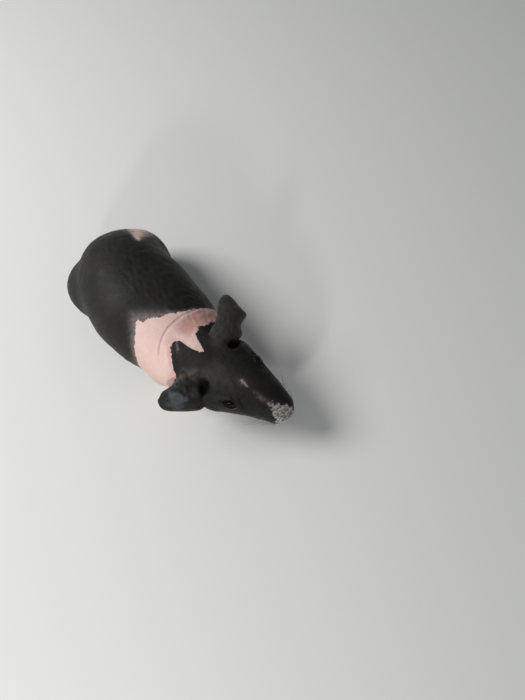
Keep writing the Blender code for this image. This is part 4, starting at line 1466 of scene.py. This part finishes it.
@dataclass
class MuzzleFur:
    """The short fur of the nose and lips: pale and matted to the right, black to the left."""

    name: str = "fur_nose_pale"
    pale: bool = True
    count: int = 14000
    seed: int = 17

    def build(self, pelt: Pelt, origin: Vector) -> Thing:
        """Makes the fur.

        Args:
            pelt: Where it grows.
            origin: Where the animal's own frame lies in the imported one, in metres.

        Returns:
            The finished piece.
        """
        head = within(HEAD, pelt.middles)
        zone = pale_nose(head)
        muzzle = smoothstep(44, 52, -head[:, 1] - 0.2 * head[:, 2]) * smoothstep(-20, -16, head[:, 2])
        bare = 1 - smoothstep(2.6, 3.8, away_from((0, -65, 0), head))
        patchy = 0.12 + 0.88 * smoothstep(-0.5, 0.4, Swell(1.7, self.seed).at(head))
        density = (zone * patchy if self.pale else muzzle * (1 - 0.85 * zone)) * (1 - bare)
        places, out = pelt.roots(density, self.count, self.seed)
        draw = np.random.default_rng(self.seed + 1)
        local = within(HEAD, places)
        swirl = np.stack([Swell(3.2, self.seed + k).at(local) for k in (2, 3, 4)], axis=1)
        way = np.array([0, 0.6, 0.1]) + 0.8 * swirl + draw.normal(size=(self.count, 3)) * 0.4
        lie = lying((way + local * np.array([0.05, 0, 0])) @ np.array(HEAD.to_3x3()).T, out)
        tuft = 0.5 + 0.5 * np.clip(Swell(1.7, self.seed + 9).at(local), -1, 1)
        spread = 0.16 if self.pale else 0.04
        tones = (0.56 + 0.9 * tuft if self.pale else 0.08 * tuft) + draw.normal(size=self.count) * spread
        tones = np.clip(tones, 0, 1)
        lengths = draw.uniform(0.8, 1.8, self.count) * (1 if self.pale else 0.7)
        around = np.arctan2(local[:, 0], local[:, 2] + 4) / math.tau
        patches = np.stack([0.5 + 0.96 * around, 0.02 + 0.96 * (-local[:, 1] - 38) / 30], axis=1)
        strands = [
            Strand(Vector(places[i]), Vector(lie[i]), Vector(out[i]), lengths[i], draw.uniform(0.1, 0.18),
                   draw.uniform(0.2, 0.8), draw.uniform(0.1, 0.7), tones[i], tuple(patches[i]))
            for i in range(self.count)
        ]
        finish = HairFinish(self.name) if self.pale else HairFinish(self.name, dark=seen(26, 24, 22))
        thing = Hairs(self.name, finish, rows=2).build(strands, origin)
        return thing


@dataclass
class FootFur:
    """The fine short hair on the toes and the backs of the feet."""

    count: int = 5200
    seed: int = 41

    def build(self, pelt: Pelt, origin: Vector) -> Thing:
        """Makes the fur.

        Args:
            pelt: Where it grows.
            origin: Where the animal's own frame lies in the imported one, in metres.

        Returns:
            The finished piece.
        """
        middles = pelt.middles
        density = smoothstep(16, 7, middles[:, 2]) * smoothstep(1, 2.2, middles[:, 2])
        density *= (pelt.out[:, 2] > -0.2) * (np.abs(middles[:, 0]) > 8)
        density[(np.abs(middles[:, 0]) < 34) & (middles[:, 2] > 11)] *= 0.4
        places, out = pelt.roots(density, self.count, self.seed)
        draw = np.random.default_rng(self.seed + 1)
        way = np.array([0, -1, -0.35]) + draw.normal(size=(self.count, 3)) * 0.25
        lie = lying(way, out)
        strands = []
        for i in range(self.count):
            x, y, z = places[i]
            quarter = (0 if x < 0 else 0.5, 0 if y < 0 else 0.5)
            around = math.atan2(abs(x) - 22, z - 2) / math.tau + 0.5
            patch = (quarter[0] + 0.02 + 0.46 * around, quarter[1] + 0.02 + 0.46 * ((y + 90) % 92) / 92)
            pink = y < -30
            tone = draw.uniform(0.6, 1) if pink else draw.uniform(0, 0.35)
            strands.append(
                Strand(Vector(places[i]), Vector(lie[i]), Vector(out[i]), draw.uniform(0.9, 1.9),
                       draw.uniform(0.07, 0.13), draw.uniform(0.15, 0.4), draw.uniform(0.1, 0.5), tone, patch)
            )
        thing = Hairs("fur_feet", HairFinish("fur_feet")).build(strands, origin)
        return thing


@dataclass
class Whiskers:
    """The long whiskers of the lips and one on each cheek."""

    seed: int = 5

    def build(self, pelt: Pelt, origin: Vector) -> Thing:
        """Makes the whiskers.

        Args:
            pelt: Where they grow.
            origin: Where the animal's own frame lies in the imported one, in metres.

        Returns:
            The finished piece.
        """
        draw = np.random.default_rng(self.seed)
        spots = [
            ((10.5 - 0.5 * row, -45.5 - 3.2 * col, 2 - 2.6 * row), 9 + 2.4 * (4 - col))
            for row in range(4)
            for col in range(5)
        ]
        spots.append(((24, -30, -6), 8))
        turn = np.array(HEAD.to_3x3())
        strands = []
        for side in Side:
            for place, size in spots:
                aim = HEAD @ Vector(sided(place, side))
                near = away_from(aim, pelt.middles).argmin()
                root, out = pelt.middles[near], pelt.out[near]
                way = np.array([side.value * 0.5, 0.75, -0.1]) + draw.normal(size=3) * 0.15
                lie = lying((way @ turn.T)[None], out[None])[0]
                strands.append(
                    Strand(Vector(root), Vector(lie), Vector(out), size * draw.uniform(0.8, 1.15), 0.18,
                           draw.uniform(0.7, 1), draw.uniform(0.3, 0.8), draw.uniform(0, 0.55),
                           (0.05 + 0.02 * (len(strands) % 45), 0.05))
                )
        thing = Hairs("whiskers", HairFinish("whiskers"), rows=9).build(strands, origin)
        return thing


@dataclass(frozen=True)
class FloorFinish:
    """Plain pale matt floor."""

    colour: tuple = seen(226, 226, 222)

    def material(self) -> bpy.types.Material:
        """Builds the material."""
        return Paper("floor").finish(base_color=self.colour, roughness=0.75)


@dataclass(frozen=True)
class Softbox:
    """A round soft light: its middle and width in metres and its power in watts."""

    name: str
    place: Triple
    width: float
    power: float

    def build(self, aim: Vector) -> None:
        """Hangs the light, turned to its aim."""
        data = bpy.data.lights.new(self.name, "AREA")
        data.shape, data.size, data.energy = "DISK", self.width, self.power
        lamp = linked(self.name, data)
        lamp.location = self.place
        lamp.rotation_euler = (aim - lamp.location).to_track_quat("-Z", "Y").to_euler()


@dataclass
class Studio:
    """The floor, the lights and the camera."""

    eye: Triple = (-58.2, -208.5, 408)  # the camera, in the animal's frame
    turn: float = math.radians(-41.4)
    tilt: float = math.radians(22)
    sensor: float = 36
    lens: float = 505 / 700 * 36
    room: tuple = (0.92, 0.96, 1, 1)
    glow: float = 0.2
    aim: Triple = (0, -0.02, 0.04)  # of the lights
    floor_size: float = 4
    floor_drop: float = 0.0001  # below the soles, so that they don't share a plane
    lights: tuple[Softbox, ...] = (
        Softbox("key", (-0.58, 0.66, 0.90), 0.6, 12.5),
        Softbox("front", (-0.60, -0.42, 0.34), 0.09, 1.7),
    )

    def build(self, origin: Vector) -> None:
        """Sets everything up.

        Args:
            origin: Where the animal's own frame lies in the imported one, in metres.
        """
        bm = bmesh.new()
        bmesh.ops.create_grid(bm, x_segments=1, y_segments=1, size=self.floor_size)
        bmesh.ops.translate(bm, vec=(0, 0, -self.floor_drop), verts=bm.verts)
        mesh = poured(bm, "floor")
        mesh.materials.append(FloorFinish().material())
        floor = linked("floor", mesh)
        for light in self.lights:
            light.build(Vector(self.aim))
        scene = bpy.context.scene
        scene.world = bpy.data.worlds.new("room")
        scene.world.use_nodes = True
        background = scene.world.node_tree.nodes["Background"]
        background.inputs[0].default_value = self.room
        background.inputs[1].default_value = self.glow
        scene.view_settings.view_transform = "Standard"
        data = bpy.data.cameras.new("camera")
        data.lens, data.sensor_width = self.lens, self.sensor
        data.clip_start, data.clip_end = 0.01, 20
        camera = linked("camera", data)
        camera.location = Vector(self.eye) * (1 / METRE) + origin
        camera.rotation_euler = (self.tilt, 0, self.turn)
        scene.camera = camera


FLESH = ("head", "neck", "torso_front", "torso_rear", "ear_left", "ear_right") + tuple(
    f"{part}_{pair}_{side}"
    for part in ("leg", "foot")
    for pair in ("hind", "front")
    for side in ("left", "right")
)


def main() -> None:
    """Builds the animal piece by piece and writes how large it came out."""
    logging.basicConfig(level=logging.INFO, format="%(message)s")
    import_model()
    low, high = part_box("eye_right")
    planned = EyeForm(Side.RIGHT).frame().translation * (1 / METRE)
    origin = (low + high) / 2 - planned
    log.info("origin %s", tuple(round(v, 5) for v in origin))
    skin = Skin().build(origin)
    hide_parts(*FLESH)
    log.info("skin: %d faces", len(skin.data.polygons))
    for side in Side:
        made = Eye(EyeForm(side)).build(origin)
        log.info("%s: %d faces", made.name, len(made.data.polygons))
    horns = {
        "front": HornFinish("claws_pale", seen(196, 160, 146), seen(222, 206, 192)),
        "hind": HornFinish("claws_dark", seen(44, 40, 38), seen(92, 84, 78)),
    }
    for foot in Foot:
        made = Claws(foot, horns[foot.value[0]]).build(origin)
        log.info("%s: %d faces", made.name, len(made.data.polygons))
    pelt = Pelt(skin, origin)
    for coat in (MuzzleFur(), MuzzleFur("fur_nose_dark", False, 7000, 29), FootFur(), Whiskers()):
        made = coat.build(pelt, origin)
        log.info("%s: %d faces", made.name, len(made.data.polygons))
    Studio().build(origin)


if __name__ == "__main__":
    main()
